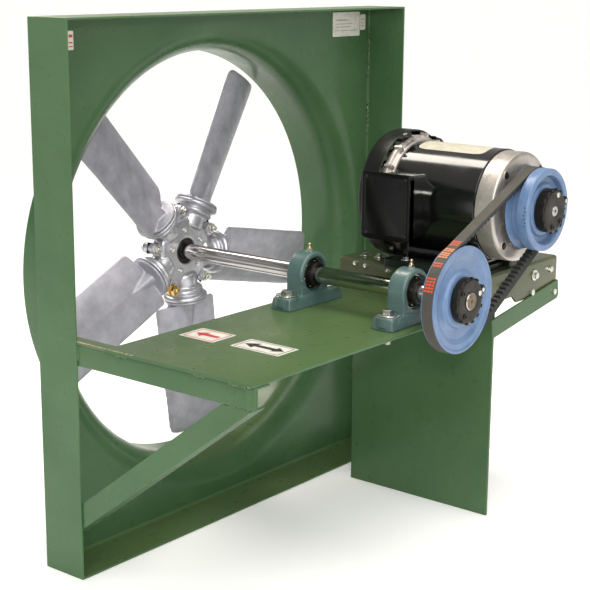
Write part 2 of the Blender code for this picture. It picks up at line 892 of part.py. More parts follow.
def build_motor_base():
    """A folded tray, open below, with a tab at its far front corner for the brace."""
    floor = SHELF_TOP + GAP
    tray = box(
        "motor_base",
        (BASE_LEFT, y_at(BASE_FRONT_OUT), floor),
        (BASE_RIGHT, y_at(BASE_BACK_OUT), BASE_TOP),
        GREEN,
        0.0015,
    )
    hollow = box(
        "motor_base_hollow",
        (BASE_LEFT + BASE_T, y_at(BASE_FRONT_OUT - BASE_T), floor - 0.02),
        (BASE_RIGHT - BASE_T, y_at(BASE_BACK_OUT + BASE_T), BASE_TOP - BASE_T),
        where=CUTTERS,
    )
    wall_back = y_at(BASE_FRONT_OUT - BASE_T)
    face = y_at(BASE_FRONT_OUT)
    skirt = box(
        "motor_base_skirt", (0.250, face, 0.336), (BASE_RIGHT, wall_back, floor + 0.01), where=CUTTERS
    )
    tab = box(
        "motor_base_tab",
        (BASE_RIGHT - 0.040, face, 0.3255),
        (BASE_RIGHT, wall_back, 0.345),
        where=CUTTERS,
    )
    relief = outline(
        "motor_base_relief",
        [(BASE_LEFT + BASE_T, 0.34), (0.2495, 0.334), (0.213, 0.362), (BASE_LEFT + BASE_T, 0.362)],
        0.02,
        turn_to_xz(0.0, face, 0.0),
        where=CUTTERS,
    )
    cut(tray, hollow)
    join(tray, skirt, tab)
    cut(tray, relief)
    box(
        "motor_slide_plate",
        (MOTOR_X - 0.079, y_at(0.382), BASE_TOP + GAP),
        (MOTOR_X + 0.079, y_at(0.226), SLIDE_TOP),
        MOTOR_BLACK,
        0.0012,
    )


def build_motor_foot():
    """A cradle under the shell: its middle is cut to the shell's round."""
    foot = box(
        "motor_foot",
        (MOTOR_X - 0.062, y_at(0.368), SLIDE_TOP + GAP),
        (MOTOR_X + 0.062, y_at(0.252), SLIDE_TOP + 0.026),
        MOTOR_BLACK,
        0.0015,
    )
    round_ = rod(
        "motor_foot_round", SHELL_R + GAP, 0.15, 0.45, MOTOR_X, MOTOR_Z, steps=40, where=CUTTERS
    )
    cut(foot, round_)


def build_motor_body():
    """Shell, end bells and fan cover, with the stator, rotor and cooling fan inside them."""
    x, z = MOTOR_X, MOTOR_Z
    ring("motor_shell", SHELL_R - 0.004, SHELL_R, 0.240, 0.3877, x, z, MOTOR_BLACK, 40)
    ring("stator_core", 0.0442, SHELL_R - 0.0043, 0.270, 0.355, x, z, LAMINATION, 40)
    front = [
        (0.0205, 0.4230),
        (0.0440, 0.4230),
        (0.0480, 0.4205),
        (BELL_END_R - 0.004, 0.4205),
        (BELL_END_R, 0.4165),
        (BELL_END_R, 0.3880),
        (BELL_END_R - 0.006, 0.3880),
        (BELL_END_R - 0.006, 0.4080),
        (0.0205, 0.4045),
    ]
    turned("motor_front_bell", front, x, z, ALUMINIUM, 40)
    rear = [
        (0.0205, 0.2397),
        (SHELL_R + 0.002, 0.2397),
        (0.0920, 0.2340),
        (0.0920, 0.2230),
        (0.0205, 0.2230),
    ]
    turned("motor_rear_bell", rear, x, z, ALUMINIUM, 40)
    for name, low, high in (("front", 0.4062, 0.4200), ("rear", 0.2240, 0.2380)):
        ring(f"motor_bearing_{name}", MOTOR_SHAFT_R + GAP, 0.0202, low, high, x, z, STEEL, 24)
    ring("rotor_core", MOTOR_SHAFT_R + GAP, 0.0435, 0.270, 0.355, x, z, LAMINATION, 40)
    build_fan_cover()
    build_cooling_fan()
    rod("motor_shaft", MOTOR_SHAFT_R, 0.196, 0.4765, x, z, STEEL, 24, chamfer=0.0008)


def build_fan_cover():
    """A drum open to the motor, its end wall pierced by an air inlet."""
    back, front = 0.1860, 0.2225
    profile = [
        (COVER_R - 0.0025, front),
        (COVER_R, front),
        (COVER_R, back + 0.010),
        (COVER_R - 0.009, back),
        (0.0250, back),
        (0.0250, back + 0.0025),
        (COVER_R - 0.010, back + 0.0025),
        (COVER_R - 0.0025, back + 0.011),
    ]
    turned("motor_fan_cover", profile, MOTOR_X, MOTOR_Z, MOTOR_BLACK, 40)


def build_cooling_fan():
    hub = ring(
        "cooling_fan", MOTOR_SHAFT_R + GAP, 0.0180, 0.1970, 0.2150, MOTOR_X, MOTOR_Z, MOTOR_BLACK, 20
    )
    for i in range(6):
        spin = 2 * math.pi * i / 6
        radial = Vector((math.cos(spin), 0.0, math.sin(spin)))
        middle = Vector((MOTOR_X, y_at(0.2060), MOTOR_Z)) + radial * 0.0475
        vane = box(
            f"cooling_vane_{i}", (-0.0325, -0.0075, -0.001), (0.0325, 0.0075, 0.001), where=CUTTERS
        )
        vane.matrix_world = Matrix.Translation(middle) @ Matrix.Rotation(-spin, 4, "Y")
        join(hub, vane)


def build_conduit_box():
    """The box on the motor's side, cut to the rounds of the shell, bell and fan cover, and its lid."""
    face = MOTOR_X - 0.117
    body = box(
        "conduit_box",
        (face, y_at(0.298), 0.4440),
        (MOTOR_X - 0.060, y_at(0.2145), 0.5420),
        MOTOR_BLACK,
        0.002,
    )
    for label, radius, back, front in (
        ("shell", SHELL_R + GAP, 0.15, 0.45),
        ("bell", 0.092 + GAP, 0.15, 0.2400),
        ("cover", COVER_R + GAP, 0.15, 0.2230),
    ):
        cut(body, rod(f"clear_{label}", radius, back, front, MOTOR_X, MOTOR_Z, steps=40, where=CUTTERS))
    box(
        "conduit_cover",
        (face - 0.0035, y_at(0.3000), 0.4420),
        (face - GAP, y_at(0.2125), 0.5440),
        MOTOR_BLACK,
        0.0012,
    )


def build_foot_bolts():
    """The four bolts that hold the motor's foot to the slide plate."""
    top = SLIDE_TOP + GAP
    for i, (dx, out) in enumerate(((-0.070, 0.262), (-0.070, 0.358), (0.070, 0.262), (0.070, 0.358))):
        stack(
            f"slide_bolt_{i + 1}",
            (
                (12, 0.0072, top, top + 0.0018),
                (6, 0.0058, top + 0.0012, top + 0.0060),
            ),
            MOTOR_X + dx,
            y_at(out),
            ZINC,
        )


build_panel()
build_venturi()
build_shelf()
build_side_angle()
build_left_brace()
build_support_plate()
build_right_brace()
build_blocks()
build_blades()
build_hub()
build_fan_shaft()
build_driven_sheave()
build_motor_base()
build_motor_foot()
build_motor_body()
build_conduit_box()
build_foot_bolts()
build_motor_sheave()
build_belt()
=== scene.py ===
"""Looks of the belt-drive panel fan: its visible pieces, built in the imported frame's own coordinates."""

from math import acos, atan2, copysign, cos, pi, radians, sin, sqrt, tan

import bmesh
import bpy
from mathutils import Matrix, Vector


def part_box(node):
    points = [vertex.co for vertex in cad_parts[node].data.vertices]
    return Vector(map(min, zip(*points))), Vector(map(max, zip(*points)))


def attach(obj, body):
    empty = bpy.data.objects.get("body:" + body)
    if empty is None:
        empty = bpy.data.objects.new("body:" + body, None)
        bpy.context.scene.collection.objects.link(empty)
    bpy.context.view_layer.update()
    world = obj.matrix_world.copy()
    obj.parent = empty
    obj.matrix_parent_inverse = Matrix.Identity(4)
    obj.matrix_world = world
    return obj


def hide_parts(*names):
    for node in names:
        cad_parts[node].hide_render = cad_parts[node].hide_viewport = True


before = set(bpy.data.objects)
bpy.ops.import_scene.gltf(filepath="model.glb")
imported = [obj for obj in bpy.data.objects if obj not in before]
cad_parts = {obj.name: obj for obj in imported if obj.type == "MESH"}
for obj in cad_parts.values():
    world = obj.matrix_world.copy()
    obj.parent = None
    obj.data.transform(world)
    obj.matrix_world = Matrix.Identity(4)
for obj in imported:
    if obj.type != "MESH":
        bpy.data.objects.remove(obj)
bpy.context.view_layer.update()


def middle(node):
    low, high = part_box(node)
    return [(a + b) / 2 for a, b in zip(low, high)]


def radius_of(node):
    low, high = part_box(node)
    return (high[0] - low[0]) / 2


def outs(node):
    """How far out from the panel's back plane a solid begins and ends."""
    low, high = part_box(node)
    return BACK_Y - high[1], BACK_Y - low[1]


# Datums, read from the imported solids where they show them. "out" is a distance from the panel's back plane
# towards the drive side
BACK_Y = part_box("panel_sheet")[1][1]
FAN_X, _, FAN_Z = middle("fan_shaft")
MOTOR_X, _, MOTOR_Z = middle("motor_shaft")
HALF_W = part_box("flange_right")[1][0]
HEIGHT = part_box("flange_top")[1][2]
SHELF_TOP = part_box("bearing_shelf")[1][2]
BASE_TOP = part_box("motor_base")[1][2]
SHEET = 0.003
DRIVE_WARDS = Vector((0.0, -1.0, 0.0))
UP = Vector((0.0, 0.0, 1.0))
FIRST_BLADE = radians(61.2)


def at(x, out, z):
    """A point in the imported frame, from how far out it is."""
    return Vector((x, BACK_Y - out, z))


def ray(angle):
    """The direction at an angle in the fan's turning plane."""
    return Vector((cos(angle), 0, sin(angle)))


def placed(spot, spin):
    """A matrix that moves to a spot after a turn about the shafts' direction."""
    return Matrix.Translation(spot) @ Matrix.Rotation(spin, 4, "Y")


def oblong(u, v):
    """The corners of a rectangle that reaches u and v either side of its middle."""
    return [(-u, -v), (u, -v), (u, v), (-u, v)]


def shifted(profile, out):
    """A turned profile's (radius, height) points, moved along its axis."""
    return [(radius, out + height) for radius, height in profile]


def quarter_turn(steps):
    """Angles from none to a right angle, evenly spaced."""
    return [radians(90 * k / steps) for k in range(steps + 1)]


def rectangle(low, high):
    return [(low[0], low[1]), (high[0], low[1]), (high[0], high[1]), (low[0], high[1])]


FAN_AXIS = at(FAN_X, 0, FAN_Z)
MOTOR_AXIS = at(MOTOR_X, 0, MOTOR_Z)


# Materials --------------------------------------------------------------------------------------------


class Nodes:
    """A material's node tree, built step by step. Texture positions are metres in the row frame."""

    def __init__(self, name):
        self.material = bpy.data.materials.new(name)
        self.material.use_nodes = True
        self.tree = self.material.node_tree
        self.shader = self.tree.nodes["Principled BSDF"]
        self.place = self.add("ShaderNodeTexCoord").outputs["Object"]

    def add(self, kind, **settings):
        node = self.tree.nodes.new(kind)
        for key, value in settings.items():
            setattr(node, key, value)
        return node

    def link(self, source, target):
        self.tree.links.new(source, target)

    def noise(self, scale, detail=4.0, rough=0.55, stretch=(1, 1, 1)):
        mapping = self.add("ShaderNodeMapping")
        mapping.inputs["Scale"].default_value = stretch
        self.link(self.place, mapping.inputs["Vector"])
        node = self.add("ShaderNodeTexNoise")
        node.inputs["Scale"].default_value = scale
        node.inputs["Detail"].default_value = detail
        node.inputs["Roughness"].default_value = rough
        self.link(mapping.outputs["Vector"], node.inputs["Vector"])
        return node.outputs["Fac"]

    def span(self, value, low, high, to_low=0.0, to_high=1.0):
        node = self.add("ShaderNodeMapRange")
        for key, number in zip(("From Min", "From Max", "To Min", "To Max"), (low, high, to_low, to_high)):
            node.inputs[key].default_value = number
        self.link(value, node.inputs["Value"])
        return node.outputs["Result"]

    def times(self, a, b):
        node = self.add("ShaderNodeMath", operation="MULTIPLY")
        self.link(a, node.inputs[0])
        self.link(b, node.inputs[1])
        return node.outputs["Value"]

    def blend(self, factor, a, b):
        """Mixes two colours. Each is a socket or a colour."""
        node = self.add("ShaderNodeMix", data_type="RGBA")
        self.link(factor, node.inputs["Factor"])
        for key, value in ((6, a), (7, b)):
            if isinstance(value, tuple):
                node.inputs[key].default_value = (*value, 1.0)
            else:
                self.link(value, node.inputs[key])
        return node.outputs[2]

    def bump(self, height, strength, distance, before=None):
        node = self.add("ShaderNodeBump")
        node.inputs["Strength"].default_value = strength
        node.inputs["Distance"].default_value = distance
        self.link(height, node.inputs["Height"])
        if before:
            self.link(before, node.inputs["Normal"])
        return node.outputs["Normal"]

    def facing_up(self, low=0.55, high=0.95):
        geometry = self.add("ShaderNodeNewGeometry")
        split = self.add("ShaderNodeSeparateXYZ")
        self.link(geometry.outputs["Normal"], split.inputs["Vector"])
        return self.span(split.outputs["Z"], low, high)

    def finish(self, color, roughness, normal=None, metallic=0.0, coat=0.0, specular=0.5):
        self.link(color, self.shader.inputs["Base Color"])
        self.link(roughness, self.shader.inputs["Roughness"])
        if normal:
            self.link(normal, self.shader.inputs["Normal"])
        self.shader.inputs["Metallic"].default_value = metallic
        self.shader.inputs["Coat Weight"].default_value = coat
        self.shader.inputs["Coat Roughness"].default_value = 0.12
        self.shader.inputs["Specular IOR Level"].default_value = specular
        return self.material


def grey(level):
    return level, level, level


def enamel(name, deep, light, dusting_and_painted_light, roughness, orange_peel=0.05, dusting_and_painted_light_amount=0.55, coat=0.1, specular=0.25):
    """Sprayed paint: mottled colour, orange peel, and a tint on what faces up: a dusting on the black
    paints, a painted warm sheen on the green paints and a painted shadow on the motor base.
    """
    n = Nodes(name)
    mottle = n.span(n.noise(9.0, 5.0), 0.35, 0.65)
    color = n.blend(mottle, deep, light)
    # A tint on what faces up: a dusting on the black paints, a painted warm sheen on the green paints, a
    # painted shadow on the motor base.
    dusting_and_painted_light_mask = n.times(n.facing_up(), n.span(n.noise(14.0, 6.0), 0.2, 0.6, dusting_and_painted_light_amount * 0.6, dusting_and_painted_light_amount))
    color = n.blend(dusting_and_painted_light_mask, color, dusting_and_painted_light)
    drift = n.span(n.noise(2.2, 3.0), 0.42, 0.68, 0.0, 0.45)
    color = n.blend(drift, color, tuple(c * k for c, k in zip(deep, (1.15, 0.88, 0.8))))
    rough = n.span(n.noise(26.0, 6.0), 0.3, 0.7, roughness - 0.06, roughness + 0.08)
    peel = n.bump(n.noise(620.0, 2.0), orange_peel, 0.0004)
    normal = n.bump(n.noise(7.0, 2.0), 0.06, 0.004, peel)
    return n.finish(color, rough, normal, coat=coat, specular=specular)


def casting(name, deep, light, roughness, metallic=0.0, grain=420.0, depth=0.35, coat=0.0):
    """Sand-cast metal, bare or painted: a grainy skin with soft hollows."""
    n = Nodes(name)
    color = n.blend(n.span(n.noise(35.0, 7.0, 0.65), 0.3, 0.7), deep, light)
    rough = n.span(n.noise(120.0, 5.0), 0.3, 0.7, roughness - 0.08, roughness + 0.1)
    fine = n.bump(n.noise(grain, 5.0, 0.7), depth, 0.0004)
    normal = n.bump(n.noise(70.0, 3.0), 0.15, 0.0012, fine)
    return n.finish(color, rough, normal, metallic, coat)


def machined(name, deep, light, roughness, stretch=(1, 1, 1), metallic=1.0, grain=300.0, depth=0.12):
    """Bare turned or ground metal: fine marks drawn out along one direction."""
    n = Nodes(name)
    marks = n.noise(grain, 4.0, 0.6, stretch)
    color = n.blend(n.span(marks, 0.3, 0.7), deep, light)
    rough = n.span(n.noise(40.0, 5.0), 0.3, 0.7, max(0.04, roughness - 0.05), roughness + 0.07)
    return n.finish(color, rough, n.bump(marks, depth, 0.0002), metallic)


def plain(name, color, roughness, metallic=0.0, coat=0.0, grain=200.0, depth=0.1):
    n = Nodes(name)
    darker = tuple(c * 0.82 for c in color)
    mix = n.blend(n.span(n.noise(90.0, 5.0), 0.35, 0.65), darker, color)
    rough = n.span(n.noise(55.0, 5.0), 0.3, 0.7, roughness - 0.05, roughness + 0.06)
    return n.finish(mix, rough, n.bump(n.noise(grain, 4.0), depth, 0.0003), metallic, coat)


# Its olive tint on what faces up is a painted warm sheen.
GREEN = enamel("green_enamel", (0.048, 0.115, 0.046), (0.064, 0.14, 0.06), (0.112, 0.15, 0.052), 0.3)
CAST_GREEN = casting("casting_enamel", (0.06, 0.115, 0.11), (0.085, 0.15, 0.142), 0.36, coat=0.3)
BLUE = casting("sheave_enamel", (0.095, 0.17, 0.32), (0.155, 0.245, 0.42), 0.36, depth=0.3, coat=0.15)
BLACK = enamel("motor_enamel", grey(0.004), grey(0.007), grey(0.02), 0.12, 0.05, 0.1, 0.6, 0.5)
COVER_BLACK = enamel("cover_enamel", grey(0.006), grey(0.011), grey(0.03), 0.34, 0.2, 0.2)
OXIDE = casting("black_oxide", (0.01, 0.009, 0.007), (0.028, 0.024, 0.018), 0.36, 0.55, 500.0, 0.2)
# The bell's warm tint is a painted reflection of something warm and brown nearby.
BELL = casting("bell_aluminium", (0.42, 0.38, 0.35), (0.6, 0.56, 0.52), 0.38, 0.75, 300.0, 0.25)
CAST_ALU = casting("cast_aluminium", (0.42, 0.42, 0.46), (0.62, 0.62, 0.67), 0.36, 0.85, 260.0, 0.25)
BLADE = casting("blade_aluminium", (0.32, 0.315, 0.365), (0.5, 0.49, 0.55), 0.46, 0.5, 300.0, 0.4)
SHAFT = machined("shaft_steel", (0.42, 0.4, 0.39), (0.54, 0.52, 0.5), 0.12, (1, 40, 1), depth=0.03)
WORN = plain("worn_edge", (0.42, 0.38, 0.24), 0.5)
ZINC = machined("zinc_plate", (0.55, 0.55, 0.52), (0.8, 0.79, 0.74), 0.24)
BRASS = machined("brass", (0.5, 0.33, 0.12), (0.78, 0.56, 0.24), 0.25)
COPPER_TINT = machined("fitting_plate", (0.55, 0.42, 0.28), (0.8, 0.66, 0.46), 0.25)
RUST_END = machined("sawn_end", (0.16, 0.12, 0.08), (0.28, 0.22, 0.15), 0.42)
LAMINATION = machined("laminations", (0.16, 0.155, 0.15), (0.26, 0.25, 0.24), 0.5)
RUBBER = plain("belt_rubber", (0.062, 0.058, 0.046), 0.62, grain=900.0, depth=0.4)
BELT_SIDE = plain("belt_side", (0.03, 0.03, 0.029), 0.7, grain=700.0, depth=0.5)
BELT_RED = plain("belt_print_red", (0.62, 0.075, 0.028), 0.55)
BELT_ORANGE = plain("belt_print_orange", (0.78, 0.25, 0.11), 0.55)
BOX_BLACK = enamel("box_enamel", grey(0.003), grey(0.006), (0.05, 0.05, 0.03), 0.22, 0.1, 0.5, 0.0, 0.2)
CREAM = plain("label_cream", (0.6, 0.56, 0.45), 0.42)
PAPER = plain("label_white", (0.8, 0.77, 0.7), 0.42)
PAPER_RED = plain("label_red", (0.6, 0.045, 0.05), 0.42)
PAPER_BLACK = plain("label_black", (0.02, 0.018, 0.016), 0.42)
PAPER_GREY = plain("label_grey", (0.42, 0.42, 0.4), 0.5)
# Black for the bearings' seals, the splits' dark lines and the sheave's dots; as discs in holes and pockets
# and as screws' cross recesses it is painted shade.
DARK_AND_HOLE_SHADE = plain("dark_and_painted_hole_shade", grey(0.006), 0.6)
# The base's olive-brown is a painted reflection of something warm and brown; its darker tint on what faces
# up is a painted shadow under the motor.
BASE_PAINTED_REFLECTION = enamel(
    "base_enamel_painted_reflection", (0.07, 0.088, 0.04), (0.102, 0.106, 0.05), (0.05, 0.072, 0.038), 0.2, 0.05, 0.5, 0.4
)
BASE_DARK = enamel(
    "slide_enamel", (0.012, 0.016, 0.012), (0.02, 0.026, 0.019), (0.03, 0.04, 0.03), 0.3, 0.1, 0.2, 0.3
)
# The beads' paint is the panel's green made lighter, a painted highlight; its olive tint on what faces up is
# a painted warm sheen.
WELD_PAINTED_HIGHLIGHT = enamel(
    "weld_enamel_painted_highlight", (0.06, 0.13, 0.054), (0.088, 0.172, 0.076), (0.13, 0.18, 0.07), 0.24, 0.3, 0.3, 0.4
)


# The record's slot that each surface stands for. Every other surface stands for the panel's paint
SLOT_OF = {
    skin: slot
    for slot, group in (
        ("casting_paint", (CAST_GREEN,)),
        ("sheave_paint", (BLUE,)),
        ("motor_paint", (BLACK, COVER_BLACK, BOX_BLACK, BASE_DARK, CREAM)),
        ("bushing", (OXIDE,)),
        ("aluminium", (BELL, CAST_ALU, BLADE)),
        ("steel", (SHAFT,)),
        ("zinc", (ZINC,)),
        ("brass", (BRASS, COPPER_TINT)),
        ("rubber", (RUBBER, BELT_RED)),
    )
    for skin in group
}


# Mesh building ----------------------------------------------------------------------------------------


def rounded(points, radius, count=3, closed=True):
    """The same outline with each corner eased over radius."""
    points = [Vector(p) for p in points]
    size = len(points)
    made = []
    for i, here in enumerate(points):
        if not closed and i in (0, size - 1):
            made.append(here)
            continue
        back, ahead = points[i - 1] - here, points[(i + 1) % size] - here
        if back.length < 1e-7 or ahead.length < 1e-7 or back.angle(ahead) > radians(165):
            made.append(here)
            continue
        reach = min(radius, back.length * 0.45, ahead.length * 0.45)
        start, end = here + back.normalized() * reach, here + ahead.normalized() * reach
        for k in range(count + 1):
            t = k / count
            made.append(start * (1 - t) ** 2 + here * 2 * t * (1 - t) + end * t**2)
    return [tuple(p) for p in made]


def basis(axis):
    """Two directions square to an axis. For the fan's own axis they are +X and +Z."""
    axis = Vector(axis).normalized()
    if abs(axis.y) > 0.99:
        return Vector((1, 0, 0)), Vector((0, 0, 1))
    u = axis.cross(Vector((0, 1, 0))).normalized()
    return u, axis.cross(u)


class Shape:
    """One mesh put together from turned, extruded and swept pieces. skin picks its material."""

    def __init__(self):
        self.mesh = bmesh.new()

    def rings(self, rings, skin=0, closed=False, caps=True):
        made = [[self.mesh.verts.new(p) for p in ring] for ring in rings]
        count = len(rings[0])
        pairs = list(zip(made, made[1:]))
        if closed:
            pairs.append((made[-1], made[0]))
        faces = []
        for near, far in pairs:
            for i in range(count):
                j = (i + 1) % count
                faces.append(self.mesh.faces.new((near[i], near[j], far[j], far[i])))
        if caps and not closed:
            faces.append(self.mesh.faces.new(tuple(reversed(made[0]))))
            faces.append(self.mesh.faces.new(tuple(made[-1])))
        for face in faces:
            face.material_index = skin
        return faces

    def turn(self, profile, origin, axis=DRIVE_WARDS, steps=96, skin=0, closed=True):
        """Turns (radius, height) points round an axis through origin."""
        axis, origin = Vector(axis).normalized(), Vector(origin)
        u, v = basis(axis)
        angles = [2 * pi * k / steps for k in range(steps)]
        rings = [
            [origin + axis * h + (u * cos(a) + v * sin(a)) * max(r, 1e-5) for a in angles]
            for r, h in profile
        ]
        return self.rings(rings, skin, closed)

    def disc(self, profile, origin, axis=DRIVE_WARDS, steps=96, skin=0):
        """A turned solid: the profile starts and ends at its caps."""
        return self.turn(profile, origin, axis, steps, skin, closed=False)

    def prism(self, outline, matrix, low, high, skin=0):
        """An outline in its own XY plane, drawn out along its Z from low to high."""
        rings = [[matrix @ Vector((u, v, h)) for u, v in outline] for h in (low, high)]
        return self.rings(rings, skin)

    def box(self, low, high, skin=0, matrix=None):
        return self.prism(rectangle(low, high), matrix or Matrix.Identity(4), low[2], high[2], skin)

    def slab(self, low, high, radius, count):
        """A box with its upright edges rounded."""
        self.prism(rounded(rectangle(low, high), radius, count), Matrix.Identity(4), low[2], high[2])

    def tube(self, path, radius, sides=10, skin=0, ripple=0.0):
        """A round bead along a path. ripple swells and shrinks it from point to point, as a weld's does."""
        path = [Vector(p) for p in path]
        rings = []
        for i, here in enumerate(path):
            ahead = path[min(i + 1, len(path) - 1)] - path[max(i - 1, 0)]
            u, v = basis(ahead)
            size = radius * (1 + ripple * sin(i * 2.4)) * (0.55 if i in (0, len(path) - 1) else 1.0)
            angles = [2 * pi * k / sides for k in range(sides)]
            rings.append([here + (u * cos(a) + v * sin(a)) * size for a in angles])
        return self.rings(rings, skin)

    def hexagon(self, origin, axis, radius, height, skin=0, spin=0.0):
        """A hexagon head with its corners chamfered."""
        origin, axis = Vector(origin), Vector(axis).normalized()
        u, v = basis(axis)
        steps, flat = 36, radius * cos(pi / 6)
        crown, chamfer_start, chamfer_slope = flat * 0.93, flat * 0.97, 0.55
        rings = [[], [], []]
        for k in range(steps):
            a = 2 * pi * k / steps
            edge = flat / cos((a + pi / 6) % (pi / 3) - pi / 6)
            drop = max(0.0, edge - chamfer_start) * chamfer_slope
            way = u * cos(a + spin) + v * sin(a + spin)
            for ring, reach, level in zip(rings, (edge, edge, crown), (0.0, height - drop, height)):
                ring.append(origin + axis * level + way * reach)
        return self.rings(rings, skin)

    def bolt(self, origin, axis, radius, height, washer=0.0, stub=0.0, skin=0, spin=0.3):
        """A hexagon head on its washer, with the end of its thread showing where it is a nut."""
        origin, axis = Vector(origin), Vector(axis).normalized()
        thick = 0.0022 if washer else 0.0
        if washer:
            rim = rounded(
                [(washer, 0), (washer, thick), (radius * 0.5, thick), (radius * 0.5, 0)], 0.0006, 2
            )
            self.turn(rim, origin, axis, 40, skin)
        self.hexagon(origin + axis * thick, axis, radius, height, skin, spin)
        if stub:
            self.thread(origin + axis * (thick + height), axis, radius * 0.52, stub, skin)

    def thread(self, origin, axis, radius, length, skin=0):
        """A thread's end, as a stack of ridges."""
        pitch, root = 0.0014, radius * 0.9
        turns = max(2, int(length / pitch))
        profile = []
        for k in range(turns):
            base = length * k / turns
            profile += [(root, base), (radius, base + length / turns * 0.5)]
        profile += [(root, length), (radius * 0.78, length + 0.0006)]
        self.disc(profile, origin, axis, 28, skin)

    def dimple_screw(self, origin, axis, radius, skin=0, dark=1):
        """A round-headed screw; its cross recess is painted shade, two thin boxes in a dark skin on its
        crown.
        """
        axis = Vector(axis).normalized()
        dome = [(radius * cos(a), radius * 0.55 * sin(a)) for a in (0, 0.4, 0.8, 1.2)]
        self.disc([(radius, -0.0005)] + dome, origin, axis, 28, skin)
        turned = Matrix((*basis(axis), axis)).transposed().to_4x4()
        local = Matrix.Translation(Vector(origin) + axis * radius * 0.5) @ turned
        for a, b in ((0.6, 0.11), (0.11, 0.6)):
            reach = Vector((a, b, 0.06)) * radius
            self.box(-reach, reach, dark, local)

    def weld(self, start, end, radius=0.0022, skin=0, wave=0.0006):
        """A rippled bead between two points."""
        start, end = Vector(start), Vector(end)
        count = max(6, int((end - start).length / 0.0022))
        path = []
        for i in range(count + 1):
            t = i / count
            wander = Vector((sin(i * 1.7), sin(i * 2.3 + 1), sin(i * 1.3 + 2))) * wave
            path.append(start.lerp(end, t) + wander)
        return self.tube(path, radius, 10, skin, 0.22)

    def finish(self, name, skins, nodes="", body="frame", slot=None, edge=0.0, sharp=40, extra=None):
        """Makes the object, lets it ride on its body and hides the CAD nodes that it replaces."""
        bmesh.ops.recalc_face_normals(self.mesh, faces=self.mesh.faces)
        mesh = bpy.data.meshes.new(name)
        self.mesh.to_mesh(mesh)
        self.mesh.free()
        skins = skins if isinstance(skins, list) else [skins]
        for skin in skins:
            mesh.materials.append(skin)
        obj = bpy.data.objects.new(name, mesh)
        bpy.context.scene.collection.objects.link(obj)
        if extra:
            extra(obj)
        obj.data.shade_smooth()
        obj.data.set_sharp_from_angle(angle=radians(sharp))
        if edge:
            mod = obj.modifiers.new("edge", "BEVEL")
            mod.width = edge
            mod.segments = 3
            mod.limit_method = "ANGLE"
            mod.angle_limit = radians(sharp)
            mod.harden_normals = True
        slot = slot or SLOT_OF.get(skins[0], "panel_paint")
        nodes = nodes.split()
        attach(obj, body)
        if nodes:
            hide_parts(*nodes)


def melt(size, passes):
    """Fuses a casting's overlapping pieces into one skin with soft fillets."""

    def run(obj):
        fuse = obj.modifiers.new("fuse", "REMESH")
        fuse.mode = "VOXEL"
        fuse.voxel_size = size
        soften = obj.modifiers.new("soften", "SMOOTH")
        soften.factor = 0.5
        soften.iterations = passes
        bpy.context.view_layer.update()
        graph = bpy.context.evaluated_depsgraph_get()
        done = bpy.data.meshes.new_from_object(obj.evaluated_get(graph))
        skins = list(obj.data.materials)
        obj.modifiers.clear()
        obj.data = done
        obj.data.materials.clear()
        for skin in skins:
            obj.data.materials.append(skin)

    return run


def turn_to_xz(x, out, z):
    """Places an outline drawn in XY upright, facing the drive side."""
    return Matrix.Translation(at(x, out, z)) @ Matrix.Rotation(pi / 2, 4, "X")


def turn_to_yz(z=0.0):
    """Places an outline drawn in XY side on: its X runs to the drive side, its Y up and its Z to -X."""
    frame_axes = Matrix(((0, 0, -1, 0), (-1, 0, 0, 0), (0, 1, 0, 0), (0, 0, 0, 1)))
    return Matrix.Translation(at(0, 0, z)) @ frame_axes


# Panel ------------------------------------------------------------------------------------------------


def square_ring(angles, out, low, high):
    """Points on the sheet's square edge, each on the ray at its angle from the fan's axis."""
    points = []
    for a in angles:
        gaps = (high[0] - FAN_X, low[0] - FAN_X, high[1] - FAN_Z, low[1] - FAN_Z)
        parts = (cos(a), cos(a), sin(a), sin(a))
        reach = min(gap / part for gap, part in zip(gaps, parts) if gap * part > 1e-9)
        points.append(at(FAN_X, out, FAN_Z) + ray(a) * reach)
    for corner in rectangle(low, high):
        spot = at(corner[0], out, corner[1])
        near = min(range(len(points)), key=lambda i: (points[i] - spot).length)
        points[near] = spot
    return points


def circle_ring(angles, radius, out):
    return [at(FAN_X, out, FAN_Z) + ray(a) * radius for a in angles]


def build_panel():
    """The sheet and the spun venturi as one skin, which is how the fold runs on the real piece."""
    low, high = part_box("panel_sheet")
    corners = (low[0], low[2]), (high[0], high[2])
    bell_r, throat = radius_of("venturi_ring"), 0.321
    turn_r, inner = bell_r - throat, bell_r - throat - SHEET
    end = outs("venturi_ring")[0]
    angles = [2 * pi * k / 240 for k in range(240)]
    circles = [(bell_r - turn_r * sin(a), SHEET - turn_r * (1 - cos(a))) for a in quarter_turn(16)]
    circles += [(throat, end + 0.001), (throat + 0.0008, end), (throat + SHEET - 0.0008, end)]
    circles += [(throat + SHEET, end + 0.001)]
    circles += [(bell_r - inner * sin(a), SHEET - turn_r + inner * cos(a)) for a in quarter_turn(16)[::-1]]
    rings = [square_ring(angles, SHEET, *corners)]
    rings += [circle_ring(angles, radius, out) for radius, out in circles]
    rings.append(square_ring(angles, 0.0, *corners))
    shape = Shape()
    shape.rings(rings, closed=True)
    shape.finish("panel_and_venturi", GREEN, "panel_sheet venturi_ring", sharp=30)


